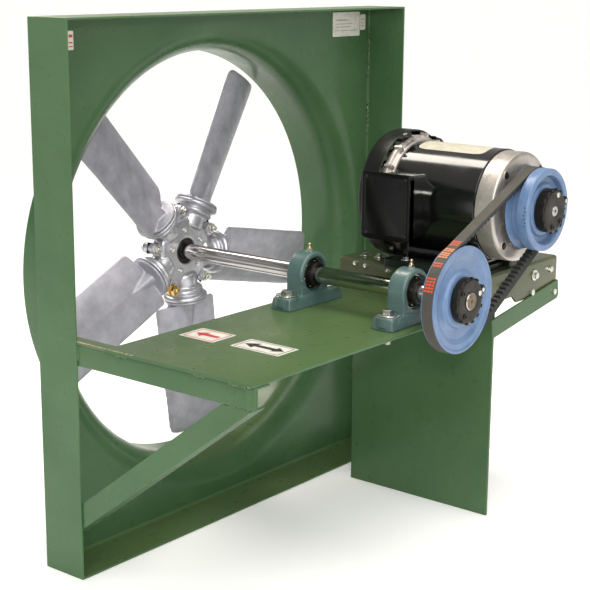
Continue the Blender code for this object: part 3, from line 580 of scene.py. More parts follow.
def build_flanges():
    """The four flanges, the soft folds along their roots, and the beads in the panel's corners."""
    for name in ("flange_left", "flange_right", "flange_bottom", "flange_top"):
        shape = Shape()
        shape.box(*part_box(name))
        shape.finish(f"{name}_strip", GREEN, name, edge=0.0011, sharp=32)
    folds = Shape()
    inner, low, high = HALF_W - SHEET, SHEET, HEIGHT - SHEET
    fold = 0.004
    section = [(0.0, 0.0)] + [(fold - fold * sin(a), fold - fold * cos(a)) for a in quarter_turn(6)]
    for sx in (-1, 1):
        basis_x = Matrix(((-sx, 0, 0, 0), (0, -1, 0, 0), (0, 0, 1, 0), (0, 0, 0, 1)))
        folds.prism(section, Matrix.Translation(at(sx * inner, SHEET, 0)) @ basis_x, low, high)
    for z, sz in ((low, 1), (high, -1)):
        basis_z = Matrix(((0, 0, 1, 0), (0, -1, 0, 0), (sz, 0, 0, 0), (0, 0, 0, 1)))
        folds.prism(section, Matrix.Translation(at(0, SHEET, z)) @ basis_z, -inner, inner)
    folds.finish("panel_folds", GREEN, sharp=32)
    welds = Shape()
    for sx in (-1, 1):
        for z in (low, high):
            x = sx * (inner - 0.001)
            welds.weld(at(x, 0.006, z), at(x, 0.075, z), 0.0019)
    x, out = inner - 0.001, 0.0045
    for base, top in ((0.555, 0.615), (0.655, 0.74)):
        welds.weld(at(x, out, base), at(x, out, top), 0.0022, wave=0.0012)
    welds.finish("panel_welds", WELD_PAINTED_HIGHLIGHT, sharp=32)


# Shelf and supports -----------------------------------------------------------------------------------


def build_shelf():
    low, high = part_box("bearing_shelf")
    back, front = outs("bearing_shelf")
    thick = high[2] - low[2]
    section = [(back, 0), (front, 0), (front, -thick), (back, -thick)]
    shape = Shape()
    shape.prism(rounded(section, 0.001, 4), turn_to_yz(SHELF_TOP), -high[0], -low[0])
    shape.finish("bearing_shelf_plate", GREEN, "bearing_shelf", edge=0.0005)


def angle_prism(shape, length_from, length_to, leg, thick, matrix):
    """Rolled angle drawn from its outer corner, with a fillet inside and rounded toes."""
    outline = [(0, 0), (leg, 0), (leg, thick), (thick, thick), (thick, leg), (0, leg)]
    shape.prism(rounded(outline, 0.0016, 3), matrix, length_from, length_to)


def build_side_angle():
    low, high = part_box("shelf_side_angle")
    shape = Shape()
    matrix = Matrix(((1, 0, 0, low[0]), (0, 0, 1, 0), (0, -1, 0, high[2]), (0, 0, 0, 1)))
    angle_prism(shape, low[1], high[1], 0.03, 0.003, matrix)
    shape.finish("side_angle_bar", GREEN, "shelf_side_angle", edge=0.0005)
    corner = Shape()
    outer, thick = 0.011, 0.003
    x, y = -HALF_W + 0.0006 + outer, BACK_Y - 0.3894 + outer

    def bend(r):
        return [(x - r * cos(a), y - r * sin(a)) for a in quarter_turn(6)]

    outline = bend(outer) + bend(outer - thick)[::-1]
    corner.prism(outline, Matrix.Identity(4), low[2] + 0.001, SHELF_TOP - 0.0044)
    corner.finish("shelf_corner_wrap", GREEN, edge=0.0006)
    beads = Shape()
    edge, under, inside = -HALF_W + 0.0008, SHELF_TOP - 0.0045, -HALF_W + 0.004
    for start, end in ((0.292, 0.312), (0.352, 0.386), (0.15, 0.172)):
        beads.weld(at(edge, start, under), at(edge, end, under), 0.0019, wave=0.0008)
    beads.weld(at(inside, 0.075, low[2] + 0.006), at(inside, 0.075, high[2] - 0.002), 0.002)
    beads.finish("shelf_welds", WELD_PAINTED_HIGHLIGHT, sharp=32)
    chips = Shape()
    for k in range(26):
        start = 0.012 + 0.0066 * k + 0.002 * sin(k * 5.1)
        wide = (0.0022 if k < 14 else 0.001) + 0.0012 * abs(sin(k * 2.3))
        spot = Matrix.Translation(at(-HALF_W + 0.0016 + wide / 2, start, SHELF_TOP + 0.00004))
        outline = [(-wide, -0.0022), (wide, -0.003), (wide * 0.7, 0.0014), (-wide, 0.003)]
        chips.prism(outline, spot, 0, 0.00008)
    chips.finish("shelf_worn_edge", WORN, sharp=32)


def build_left_brace():
    """The upright leg, trimmed level under the side angle, and the lower leg turned inwards."""
    low2, high2 = Vector((0.052, 0.058)), Vector((0.384, 0.311))
    along = (high2 - low2).normalized()
    across = Vector((-along.y, along.x))
    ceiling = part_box("shelf_side_angle")[0][2] - 0.0003
    leg, thick = 0.03, 0.003
    top_reach = (ceiling - (low2 + across * leg).y) / along.y
    low_reach = (ceiling - low2.y) / along.y
    x0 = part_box("left_brace")[0][0]
    upright = [low2, low2 + along * low_reach, low2 + across * leg + along * top_reach, low2 + across * leg]
    shape = Shape()
    shape.prism(rounded([tuple(p) for p in upright], 0.003, 4), turn_to_yz(), -(x0 + thick), -x0)
    strip = [low2, low2 + along * (low_reach - 0.004)]
    strip += [strip[1] + across * thick, low2 + across * thick]
    shape.prism([tuple(p) for p in strip], turn_to_yz(), -(x0 + leg), -(x0 + thick * 0.5))
    shape.finish("left_brace_bar", GREEN, "left_brace", edge=0.0006)
    beads = Shape()
    foot, head = low2 + across * 0.002, low2 + across * 0.029
    beads.weld(*(at(x0 + thick + 0.001, p.x + 0.002, p.y) for p in (foot, head)), 0.0018)
    tip = low2 + along * (low_reach - 0.004)
    beads.weld(at(x0 + 0.001, tip.x - 0.034, ceiling), at(x0 + 0.001, tip.x, ceiling), 0.0017)
    beads.finish("left_brace_welds", WELD_PAINTED_HIGHLIGHT, sharp=32)


def build_support_plate():
    low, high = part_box("support_plate")
    shape = Shape()
    shape.box(low, high)
    shape.finish("support_plate_sheet", GREEN, "support_plate", edge=0.001, sharp=32)
    beads = Shape()
    for x in (low[0] - 0.0008, high[0] + 0.0008):
        for start, end in ((0.135, 0.16), (0.235, 0.262), (0.35, 0.376)):
            beads.weld(at(x, start, high[2] - 0.0006), at(x, end, high[2] - 0.0006), 0.0019)
    beads.finish("support_plate_welds", WELD_PAINTED_HIGHLIGHT, sharp=32)


def build_right_brace():
    out, length, leg, thick = 0.3933, 0.2045, 0.03, 0.003
    matrix = placed(at(0.176, out, 0.2926), -radians(8.3))
    face = rounded([(0, 0), (length - 0.004, 0), (length, 0.006), (length, leg), (0, leg)], 0.0012, 3)
    upright = Matrix(((1, 0, 0, 0), (0, 0, 1, 0), (0, 1, 0, 0), (0, 0, 0, 1)))
    shape = Shape()
    shape.prism(face, matrix @ upright, 0.0, thick)
    shape.box((0.022, thick * 0.5, 0.0), (length - 0.005, leg, thick), 0, matrix)
    shape.finish("right_brace_bar", GREEN, "right_brace", edge=0.0006)
    bolts = Shape()
    bolts.bolt(at(0.36, out, 0.3345), DRIVE_WARDS, 0.0052, 0.004)
    bolts.finish("right_brace_bolt", ZINC, edge=0.0002, sharp=50)
    beads = Shape()
    beads.weld(at(0.1935, 0.3885, 0.299), at(0.1935, 0.3885, 0.3225), 0.002)
    beads.finish("right_brace_weld", WELD_PAINTED_HIGHLIGHT, sharp=32)


def build_motor_base():
    """The folded tray: bends on its upper edges, open corners below, and its front skirt."""
    low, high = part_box("motor_base")
    x0, x1 = low[0], high[0]
    front = outs("motor_base")[1]
    floor, thick, bend = SHELF_TOP + 0.0003, 0.004, 0.0055
    shape = Shape()

    def loop(inset, level, radius):
        corners = rectangle((x0 + inset, low[1] + inset), (x1 - inset, high[1] - inset))
        return [Vector((u, v, level)) for u, v in rounded(corners, max(radius, 0.0004), 5)]

    rings = [loop(0, floor, bend)]
    for a in quarter_turn(6):
        rings.append(loop(bend * (1 - cos(a)), BASE_TOP - bend + bend * sin(a), bend * cos(a)))
    cavity = [loop(thick, BASE_TOP - thick, 0.0015), loop(thick, floor, 0.0015)]
    shape.rings(rings + cavity, closed=True, caps=False)
    crown = [v for v in shape.mesh.verts if abs(v.co.z - BASE_TOP) < 1e-6]
    under = [v for v in shape.mesh.verts if abs(v.co.z - (BASE_TOP - thick)) < 1e-6]
    spare = [f for f in shape.mesh.faces if set(f.verts) & set(crown) and set(f.verts) & set(under)]
    bmesh.ops.delete(shape.mesh, geom=spare, context="FACES")
    shape.mesh.faces.new(crown)
    shape.mesh.faces.new(list(reversed(under)))
    skirt = [
        (0.25, 0.336), (x1 - 0.041, 0.336), (x1 - 0.041, 0.3255), (x1, 0.3255), (x1, floor + 0.004),
        (0.232, floor + 0.004)
    ]
    shape.prism(skirt, turn_to_xz(0, 0, 0), front - thick, front - 0.0002)
    shape.finish("motor_base_tray", BASE_PAINTED_REFLECTION, "motor_base", sharp=35)
    fasteners = Shape()
    for x, out in ((0.165, 0.159), (0.1665, 0.1852), (0.2094, 0.1743), (0.208, 0.2336)):
        fasteners.bolt(at(x, out, BASE_TOP), UP, 0.0052, 0.0042, 0.0085, spin=x * 90)
    for out, z in ((0.1599, 0.388), (0.1804, 0.3866), (0.2238, 0.3835)):
        fasteners.bolt(at(x0, out, z - 0.003), (-1, 0, 0), 0.0044, 0.0032, spin=out * 70)
    for x, z, washer in ((0.3509, 0.3725, 0.0), (0.3013, 0.3706, 0.0088), (0.2942, 0.3443, 0.0)):
        fasteners.bolt(at(x, front, z), DRIVE_WARDS, 0.0054, 0.0044, washer, spin=x * 50)
    for x, z in ((0.205, 0.37), (0.2165, 0.3705)):
        fasteners.bolt(at(x, front, z), DRIVE_WARDS, 0.006, 0.0052, 0.0, stub=0.006, spin=x * 30)
    fasteners.finish("motor_base_bolts", ZINC, edge=0.0002, sharp=50)


# Pillow blocks ----------------------------------------------------------------------------------------


def build_pillow_block(name):
    node = f"pillow_block_{name}"
    low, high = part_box(node)
    x, y, _ = middle(node)
    out = BACK_Y - y
    floor, foot, half = low[2], 0.019, 0.065
    ring_r, ring_half, foot_half = 0.0333, 0.0152, (high[1] - low[1]) / 2
    shape = Shape()
    rings = []
    for level, shrink in ((0.0, 0.0), (0.006, 0.0008), (foot - 0.0035, 0.0022), (foot - 0.002, 0.003)):
        outline = rounded(oblong(half - shrink, foot_half - shrink), 0.0035, 4)
        rings.append([Vector((x + a, y + b, floor + level)) for a, b in outline])
    shape.rings(rings)
    for side in (-1, 1):
        shape.disc(
            [(0.0178, 0.004), (0.0178, foot - 0.0008), (0.017, foot)], (x + side * 0.049, y, floor), UP, 56
        )
    shape.box(
        (x - 0.04, y - foot_half + 0.004, floor + 0.004),
        (x + 0.04, y + foot_half - 0.004, floor + foot - 0.001)
    )
    bore, lip = 0.0258, 0.0028
    profile = [
        (bore, -ring_half), (ring_r - lip, -ring_half), (ring_r, -ring_half + 0.003),
        (ring_r, ring_half - 0.003), (ring_r - lip, ring_half), (bore, ring_half)
    ]
    shape.turn(shifted(profile, out), at(x, 0, FAN_Z), steps=72)
    base = floor - FAN_Z
    right = [
        (0.0316, base + 0.004), (0.0316, base + foot), (0.0312, -0.015), (0.0325, -0.006), (0.0258, -0.001),
        (0.02, -0.0165), (0.01, -0.024)
    ]
    flank = right + [(0.0, -0.0259)] + [(-u, v) for u, v in reversed(right)]
    shape.prism(flank, turn_to_xz(x, out, FAN_Z), -ring_half + 0.0005, ring_half - 0.0005)
    shape.disc(
        [(0.0055, -0.004), (0.0055, 0.0012), (0.0048, 0.002)], at(x, out + 0.004, FAN_Z + ring_r), UP, 28
    )
    shape.finish(f"{node}_casting", CAST_GREEN, node, sharp=55, extra=melt(0.0011, 3))
    for side in (-1, 1):
        label = "left" if side < 0 else "right"
        spot = Vector((x + side * 0.049, y, floor + foot + 0.0003))
        bolt = Shape()
        bolt.bolt(spot, UP, 0.0092, 0.0066, 0.0165, spin=0.2 + side * 0.3 + out)
        under = Vector((spot.x, spot.y, SHELF_TOP - 0.0043))
        bolt.bolt(under, -UP, 0.0092, 0.0078, 0.013, stub=0.0075, spin=side + out * 3)
        bolt.disc([(0.0044, 0), (0.0044, 0.022)], under, UP, 24)
        bolt.finish(
            f"block_bolt_{name}_{label}_set", ZINC, f"block_bolt_{name}_{label}", edge=0.0002, sharp=50
        )
    build_bearing(name, x, out)
    build_grease_fitting(name, x, out)


def build_bearing(name, x, out):
    """The insert's outer ring and slinger, and the inner ring with its set screws."""
    fixed = Shape()
    ring = [(0.0232, 0.0085), (0.0251, 0.0085), (0.0256, 0.007)]
    ring += [(r, -h) for r, h in reversed(ring)]
    fixed.turn(rounded(shifted(ring, out), 0.0006, 2), at(x, 0, FAN_Z), steps=72)
    for face in (1, -1):
        seal = [(0.0214, 0.0052), (0.0234, 0.0052), (0.0234, 0.0072), (0.0222, 0.008), (0.0214, 0.0072)]
        fixed.turn([(r, out + face * h) for r, h in seal], at(x, 0, FAN_Z), steps=72, skin=1)
    fixed.finish(f"bearing_outer_{name}_ring", [ZINC, DARK_AND_HOLE_SHADE], f"bearing_outer_{name}", slot="steel")
    moving = Shape()
    inner = [
        (0.013, 0.0214), (0.017, 0.0214), (0.0178, 0.0205), (0.0178, 0.0105), (0.0208, 0.009),
        (0.0208, -0.0085), (0.0178, -0.0098), (0.0178, -0.0124), (0.017, -0.013), (0.013, -0.013)
    ]
    moving.turn(rounded(shifted(inner, out), 0.0005, 2), at(x, 0, FAN_Z), steps=72)
    for a in (radians(40), radians(160)):
        seat = at(x, out + 0.016, FAN_Z) + ray(a) * 0.0174
        cup = [(0.0026, 0.0), (0.0026, 0.001), (0.0013, 0.001), (0.0013, 0.0002)]
        moving.turn(cup, seat, ray(a), 20, skin=1)
    for k in range(6):
        rivet = at(x, out + 0.0096, FAN_Z) + ray(radians(15 + 60 * k)) * 0.0195
        moving.disc([(0.0011, -0.0008), (0.0011, 0.0003), (0.0007, 0.0007)], rivet, DRIVE_WARDS, 16, skin=1)
    moving.finish(f"bearing_inner_{name}_ring", [OXIDE, ZINC], f"bearing_inner_{name}", body="fan_rotor")


def build_grease_fitting(name, x, out):
    node = f"grease_fitting_{name}"
    low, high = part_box(node)
    top = high[2]
    shape = Shape()
    origin = at(x, out + 0.004, low[2] + 0.007)
    shape.hexagon(origin, UP, 0.0044, 0.0038, 0, 0.2)
    rise = top - origin.z
    nose = [
        (0.0029, -0.005), (0.0029, 0.0035), (0.0027, 0.0045), (0.0019, 0.0062), (0.0019, 0.008),
        (0.0026, 0.0094), (0.0026, rise - 0.0014), (0.0016, rise)
    ]
    shape.disc(nose, origin, UP, 28)
    shape.finish(f"{node}_nipple", COPPER_TINT, node, edge=0.00015, sharp=45)


# Propeller --------------------------------------------------------------------------------------------

# The hub's middle plane and its half thickness, and where its blade collars end
HUB_OUT, HUB_HALF, COLLAR_END = -0.0908, 0.0135, 0.08
HUB_CENTRE = at(FAN_X, HUB_OUT, FAN_Z)
# The clamp bolts' distance from the fan's axis, and how far from the middle plane their heads sit
CLAMP_R, CLAMP_HALF = 0.068, 0.0114
BLADES = 5
TIP_R, HALF_CHORD = 0.3075, 0.052
# How far a blade's plate sits off its spine's line, and how far its ends are cut aslant
CHORD_SHIFT, SLANT = -0.003, 0.0045
ROOT_PITCH, TIP_PITCH = radians(24), radians(17.4)
# The radius from which the pitch eases off
PITCH_FROM = 0.0815


def spoke(i):
    """Directions of a blade: outwards, sideways in the turning plane, and towards the drive side."""
    a = FIRST_BLADE + i * 2 * pi / BLADES
    return ray(a), Vector((-sin(a), 0, cos(a))), DRIVE_WARDS


def between_blades(i):
    """The direction midway between a blade and the next, and the matrix of a piece that lies along it."""
    radial, sideways, axial = spoke(i)
    half_step = pi / BLADES
    middle_way = (radial * cos(half_step) + sideways * sin(half_step)).normalized()
    turned = Matrix((middle_way, middle_way.cross(axial), axial)).transposed().to_4x4()
    return middle_way, Matrix.Translation(HUB_CENTRE) @ turned


def blade_point(directions, radius, u, v):
    """A point of a blade: u along its chord and v through its thickness, turned to its pitch there."""
    radial, sideways, axial = directions
    pitch = ROOT_PITCH + (TIP_PITCH - ROOT_PITCH) * max(0.0, (radius - PITCH_FROM) / (TIP_R - PITCH_FROM))
    across = u * cos(pitch) - v * sin(pitch)
    depth = u * sin(pitch) + v * cos(pitch)
    return HUB_CENTRE + radial * radius + sideways * across + axial * depth


def build_blade(i):
    """A cast plate cut aslant, its round root flange, and the pointed spine that runs out of it."""
    directions = spoke(i)
    shape = Shape()
    start, ease_in, ease_out = 0.0875, 0.007, 0.012
    radii = [start + step for step in (0.0, 0.0006, 0.0016, 0.003, 0.005, 0.007)]
    radii += [start + ease_in + (TIP_R - ease_out - start - ease_in) * k / 12 for k in range(1, 13)]
    radii += [TIP_R - ease_out + ease_out * t for t in (0.2, 0.4, 0.6, 0.75, 0.88, 0.96, 1.0)]
    rings = []
    for radius in radii:
        half = HALF_CHORD
        if radius < start + ease_in:
            half -= ease_in - sqrt(max(0.0, ease_in**2 - (start + ease_in - radius) ** 2))
        if radius > TIP_R - ease_out:
            half -= ease_out - sqrt(max(0.0, ease_out**2 - (radius - TIP_R + ease_out) ** 2))
        thick = 0.0036 - 0.001 * (radius - start) / (TIP_R - start)
        if radius in (radii[0], radii[-1]):
            thick *= 0.55
        ring = []
        for k in range(48):
            a = 2 * pi * k / 48
            c, s = cos(a), sin(a)
            u = half * copysign(abs(c) ** 0.55, c)
            v = thick * copysign(abs(s) ** 0.55, s) * (1 - 0.35 * abs(c) ** 6)
            v += 0.0075 * (1 - (u / HALF_CHORD) ** 2)
            reach = radius - SLANT * u / HALF_CHORD
            ring.append(blade_point(directions, reach, u + CHORD_SHIFT, v))
        rings.append(ring)
    shape.rings(rings)
    flange = [
        (0.0146, 0.0785), (0.0146, COLLAR_END + 0.0003), (0.0338, COLLAR_END + 0.0003),
        (0.0345, COLLAR_END + 0.001), (0.0345, COLLAR_END + 0.004), (0.0335, COLLAR_END + 0.005),
        (0.02, COLLAR_END + 0.0068)
    ]
    shape.disc(rounded(flange, 0.0006, 2, closed=False), HUB_CENTRE, directions[0], 72)
    spine = []
    for radius, width, height, rise in (
        (0.084, 0.0185, 0.0215, 0.0),
        (0.089, 0.017, 0.02, 0.001),
        (0.096, 0.015, 0.0175, 0.002),
        (0.104, 0.0124, 0.0148, 0.003),
        (0.112, 0.0096, 0.012, 0.0042),
        (0.12, 0.0064, 0.0092, 0.0052),
        (0.128, 0.0034, 0.0066, 0.006),
        (0.135, 0.0008, 0.004, 0.0066),
    ):
        ring = []
        for k in range(32):
            a = 2 * pi * k / 32
            c, t = cos(a), sin(a)
            u, v = width * c * abs(c) ** 0.5, height * t * abs(t) ** 0.5
            ring.append(blade_point(directions, radius, u, rise + v))
        spine.append(ring)
    shape.rings(spine)
    for side in (1, -1):
        brace = [(0.0, 0.0), (0.0, 0.033 * side), (0.012, 0.033 * side), (0.015, 0.0)]
        rings = [
            [
                blade_point(directions, COLLAR_END + 0.004 + r, u, v) for r, u in brace
            ] for v in (0.0005, 0.005)
        ]
        shape.rings(rings)
    name = f"fan_blade_{i + 1}"
    shape.finish(f"{name}_cast", BLADE, name, body="fan_rotor", sharp=38, extra=melt(0.0016, 2))


def build_hub():
    """The split hub: a thin web, and clamped barrels that stand proud of it, each with a ridged collar."""
    shape = Shape()
    web = [
        (0.0208, -HUB_HALF), (0.05, -HUB_HALF), (0.0555, -0.0095), (0.0555, 0.0095), (0.05, HUB_HALF),
        (0.0208, HUB_HALF)
    ]
    shape.turn(rounded(web, 0.002, 3), HUB_CENTRE, DRIVE_WARDS, 120)
    for i in range(BLADES):
        barrel = [
            (0.015, 0.0385), (0.019, 0.0385), (0.0216, 0.042), (0.0222, 0.048), (0.0222, 0.0575),
            (0.0232, 0.06), (0.0285, 0.063), (0.03, 0.0655), (0.0292, 0.068), (0.0272, 0.0697),
            (0.0276, 0.0712), (0.0335, 0.0732), (0.0358, 0.0758), (0.0358, 0.0785), (0.0345, COLLAR_END),
            (0.0156, COLLAR_END), (0.0156, 0.06)
        ]
        shape.turn(barrel, HUB_CENTRE, spoke(i)[0], 96)
        middle_way, local = between_blades(i)
        shape.box((0.05, -0.006, -0.01), (0.07, 0.006, 0.01), 0, local)
        ear = HUB_CENTRE + middle_way * CLAMP_R
        shape.disc([(0.0085, -0.0105), (0.0085, 0.0105), (0.0075, 0.0115)], ear, DRIVE_WARDS, 40)
    shape.finish(
        "propeller_hub", CAST_ALU, "hub_front hub_rear", body="fan_rotor", sharp=55, extra=melt(0.0011, 2)
    )
    build_hub_details()


def build_hub_details():
    """The split's dark line, the hub's screws and the clamp bolts, of which the marked one is brass."""
    marked = 2
    seam, bright, brass = Shape(), Shape(), Shape()
    for i in range(BLADES):
        middle_way, local = between_blades(i)
        seam.box((0.056, -0.0088, -0.0006), (0.0768, 0.0088, 0.0006), 0, local)
        spot, lift = HUB_CENTRE + middle_way * CLAMP_R, DRIVE_WARDS * CLAMP_HALF
        bolts, spin = (brass, 0.4) if i == marked else (bright, i)
        if i == marked:
            bolts.bolt(spot + lift, DRIVE_WARDS, 0.0085, 0.008, 0.0105, 0.003, spin=spin)
        else:
            bolts.bolt(spot + lift, DRIVE_WARDS, 0.0062, 0.0044, 0.008, 0.004, spin=spin)
        bolts.bolt(spot - lift, -DRIVE_WARDS, 0.0062, 0.0044, 0.008, spin=spin)
        head = HUB_CENTRE + middle_way * 0.0345 + DRIVE_WARDS * HUB_HALF
        screw = [(0.0042, -0.001), (0.0042, 0.003), (0.0036, 0.0038), (0.002, 0.0038), (0.002, 0.0014)]
        bright.disc(screw, head, DRIVE_WARDS, 28)
    seam.finish("hub_split_line", DARK_AND_HOLE_SHADE, body="fan_rotor", slot="aluminium", sharp=32)
    bright.finish("hub_bolts", ZINC, body="fan_rotor", slot="steel", edge=0.0002, sharp=50)
    brass.finish("hub_index_bolt", BRASS, body="fan_rotor", edge=0.0003, sharp=50)
    bush = Shape()
    front, back, outer = HUB_OUT + HUB_HALF - 0.002, HUB_OUT - HUB_HALF + 0.001, 0.0205
    profile = [
        (0.0131, front - 0.002), (0.018, front - 0.002), (outer, front), (outer, back), (0.0131, back)
    ]
    bush.turn(rounded(profile, 0.0006, 2), FAN_AXIS, steps=96)
    bush.finish("hub_bushing_taper", OXIDE, "hub_bushing", body="fan_rotor")


def bar(r, back, front, chamfer):
    """The profile of a round bar with chamfered ends."""
    return [(r - chamfer, back), (r, back + chamfer), (r, front - chamfer), (r - chamfer, front)]


def build_fan_shaft():
    (back, front), r = outs("fan_shaft"), radius_of("fan_shaft")
    shape = Shape()
    shape.disc(bar(r, back, front, 0.0012), FAN_AXIS, steps=96)
    shape.disc([(0.0112, 0), (0.0112, 0.00015)], at(FAN_X, front, FAN_Z), DRIVE_WARDS, 48, 1)
    # A dark disc on the shaft's end: the centre hole's painted shade.
    shape.disc([(0.0018, 0), (0.0018, 0.0002)], at(FAN_X, front + 0.0001, FAN_Z), DRIVE_WARDS, 24, 2)
    shape.finish("fan_shaft_bar", [SHAFT, RUST_END, DARK_AND_HOLE_SHADE], "fan_shaft", body="fan_rotor", sharp=30)


# Drive ------------------------------------------------------------------------------------------------

# The belt's middle plane, and how far its back stands above the sheaves' rims
BELT_OUT, BELT_PROUD = 0.438, 0.0008


def groove(radius, slope=tan(radians(18))):
    top, depth = 0.0088, 0.0125
    return [
        (radius, BELT_OUT + top),
        (radius - depth, BELT_OUT + top - depth * slope),
        (radius - depth, BELT_OUT - top + depth * slope),
        (radius, BELT_OUT - top),
    ]


def build_driven_sheave():
    r = radius_of("driven_sheave")
    front, back = BELT_OUT + 0.01, BELT_OUT - 0.01
    near = [
        (0.0235, -0.001), (0.0375, -0.001), (0.0395, -0.0022), (0.0412, -0.005), (0.043, -0.0062),
        (0.056, -0.0058), (0.0615, -0.0032), (0.063, -0.0022), (0.0655, -0.002), (r - 0.005, -0.0016),
        (r - 0.0035, 0), (r - 0.0008, 0), (r, -0.0006)
    ]
    far = [(r, 0), (0.06, 0), (0.056, 0.006), (0.043, 0.006), (0.04, -0.004), (0.0225, -0.004)]
    profile = shifted(near, front) + groove(r) + shifted(far, back)
    shape = Shape()
    shape.turn(rounded(profile, 0.0009, 3), FAN_AXIS, steps=144)
    shape.finish("driven_sheave_casting", BLUE, "driven_sheave", body="fan_rotor")
    build_bushing(
        "driven_bushing", "fan_rotor", FAN_X, FAN_Z, 0.46, front, back - 0.003, 0.0127, (20, 145, 235)
    )


def build_bushing(node, body, x, z, face, front, back, bore, screws):
    """A flanged split taper bushing: three cap screws, a notched rim and an ear beside the split."""
    seat, screw_r = front - 0.0007, 0.024
    shape = Shape()
    profile = [
        (bore + 0.0003, face), (0.0295, face), (0.0325, face - 0.0022), (0.0325, seat), (0.0232, seat),
        (0.0222, back), (bore + 0.0003, back)
    ]
    shape.turn(rounded(profile, 0.0009, 3), at(x, 0, z), steps=120)
    ear = at(x + 0.0325, 0, z + 0.011)
    shape.disc([(0.007, seat), (0.007, face - 0.0015), (0.0058, face - 0.0005)], ear, DRIVE_WARDS, 40)
    shape.disc([(0.003, face - 0.0005), (0.003, face + 0.0002)], ear, DRIVE_WARDS, 24, 1)
    for k in range(14):
        a = radians(360 * k / 14 + 30)
        if abs(a - radians(18)) < 0.35 or abs(a - radians(378)) < 0.35:
            continue
        local = placed(at(x, face - 0.0022, z), -a)
        shape.box((0.0318, -0.0019, -0.0026), (0.0336, 0.0019, 0.0026), 0, local)
    shape.box(at(x + bore, face + 0.00012, z - 0.0008), at(x + 0.0318, face - 0.002, z + 0.0008), 2)
    rim = [(0.004, -0.001), (0.004, 0.0012), (0.0034, 0.0018), (0.002, 0.0018), (0.002, 0.0002)]
    for k, angle in enumerate(screws):
        head, hole = (at(x, face, z) + ray(radians(a)) * screw_r for a in (angle, angle + 38))
        shape.disc(rim, head, DRIVE_WARDS, 32, 1 if k == 0 else 0)
        # A dark disc at each empty tapped hole: painted shade.
        shape.disc([(0.0033, 0), (0.0033, 0.0001)], hole, DRIVE_WARDS, 28, 2)
    shape.finish(f"{node}_taper", [OXIDE, ZINC, DARK_AND_HOLE_SHADE], node, body=body)


def build_motor_sheave():
    (back, front), r = outs("motor_sheave"), radius_of("motor_sheave")
    near = [
        (0.0235, -0.005), (0.0365, -0.005), (0.0382, -0.0062), (0.04, -0.0105), (0.043, -0.011),
        (0.0485, -0.01), (0.0505, -0.0015), (0.052, 0), (r - 0.0015, 0), (r, -0.0015)
    ]
    far = [(r, 0), (0.046, 0), (0.043, 0.005), (0.036, 0.005), (0.034, 0.001), (0.0225, 0.001)]
    profile = shifted(near, front) + groove(r) + shifted(far, back)
    shape = Shape()
    shape.turn(rounded(profile, 0.0009, 3), MOTOR_AXIS, steps=144)
    for k in range(6):
        a = radians(170 + 5.2 * k)
        spot = at(MOTOR_X, BELT_OUT + 0.0215 + 0.0012 * sin(k * 2.0), MOTOR_Z) + ray(a) * (r - 0.0006)
        shape.disc([(0.0011, 0.0), (0.0011, 0.0007)], spot, ray(a), 14, 1)
    shape.finish("motor_sheave_casting", [BLUE, DARK_AND_HOLE_SHADE], "motor_sheave", body="motor_rotor")
    build_bushing(
        "motor_bushing", "motor_rotor", MOTOR_X, MOTOR_Z, 0.476, front - 0.004, back + 0.003, 0.0079,
        (75, 255, 315)
    )


def belt_line(inset, count):
    """count points spread evenly round the belt's path, each with its outward direction and its share."""
    big, small = radius_of("driven_sheave") - inset, radius_of("motor_sheave") - inset
    fan, motor = Vector((FAN_X, FAN_Z)), Vector((MOTOR_X, MOTOR_Z))
    span = motor - fan
    lean, heading = acos((big - small) / span.length), atan2(span.y, span.x)
    straight = span.length * sin(lean)
    wrap_big, wrap_small = (2 * pi - 2 * lean) * big, 2 * lean * small
    total = wrap_big + wrap_small + 2 * straight
    made = []
    for k in range(count):
        s = total * k / count
        down = s - wrap_big
        round_small = down - straight
        back = round_small - wrap_small
        if down < 0:
            a, t = heading + lean + s / big, 0.0
        elif round_small < 0:
            a, t = heading - lean, down / straight
        elif back < 0:
            a, t = heading - lean + round_small / small, 1.0
        else:
            a, t = heading + lean, 1.0 - back / straight
        n = Vector((cos(a), sin(a)))
        made.append(((fan + n * big).lerp(motor + n * small, t), n, s / total))
    return made


def build_belt():
    """A cogged V-belt: a flat back with a raised print, raw sides, and teeth along its inner face."""
    count, height, top = 960, 0.0105, 0.0086
    slope = tan(radians(18))
    shape = Shape()
    rings = []
    for k, (p, n, _) in enumerate(belt_line(-BELT_PROUD, count)):
        phase = (k % 10) / 10
        depth = height * (0.62 if phase < 0.38 else 1.0)
        bottom = top - depth * slope
        edges = [
            (0.0, -top + 0.0006), (0.0, top - 0.0006), (0.0006, top), (depth, bottom), (depth, -bottom),
            (0.0006, -top)
        ]
        rings.append([at(p.x - n.x * d, BELT_OUT + o, p.y - n.y * d) for d, o in edges])
    faces = shape.rings(rings, closed=True)
    for index, face in enumerate(faces):
        face.material_index = 0 if index % 6 in (0, 1, 5) else 1
    shape.finish("cogged_belt", [RUBBER, BELT_SIDE], "v_belt", sharp=35)
    build_belt_print()


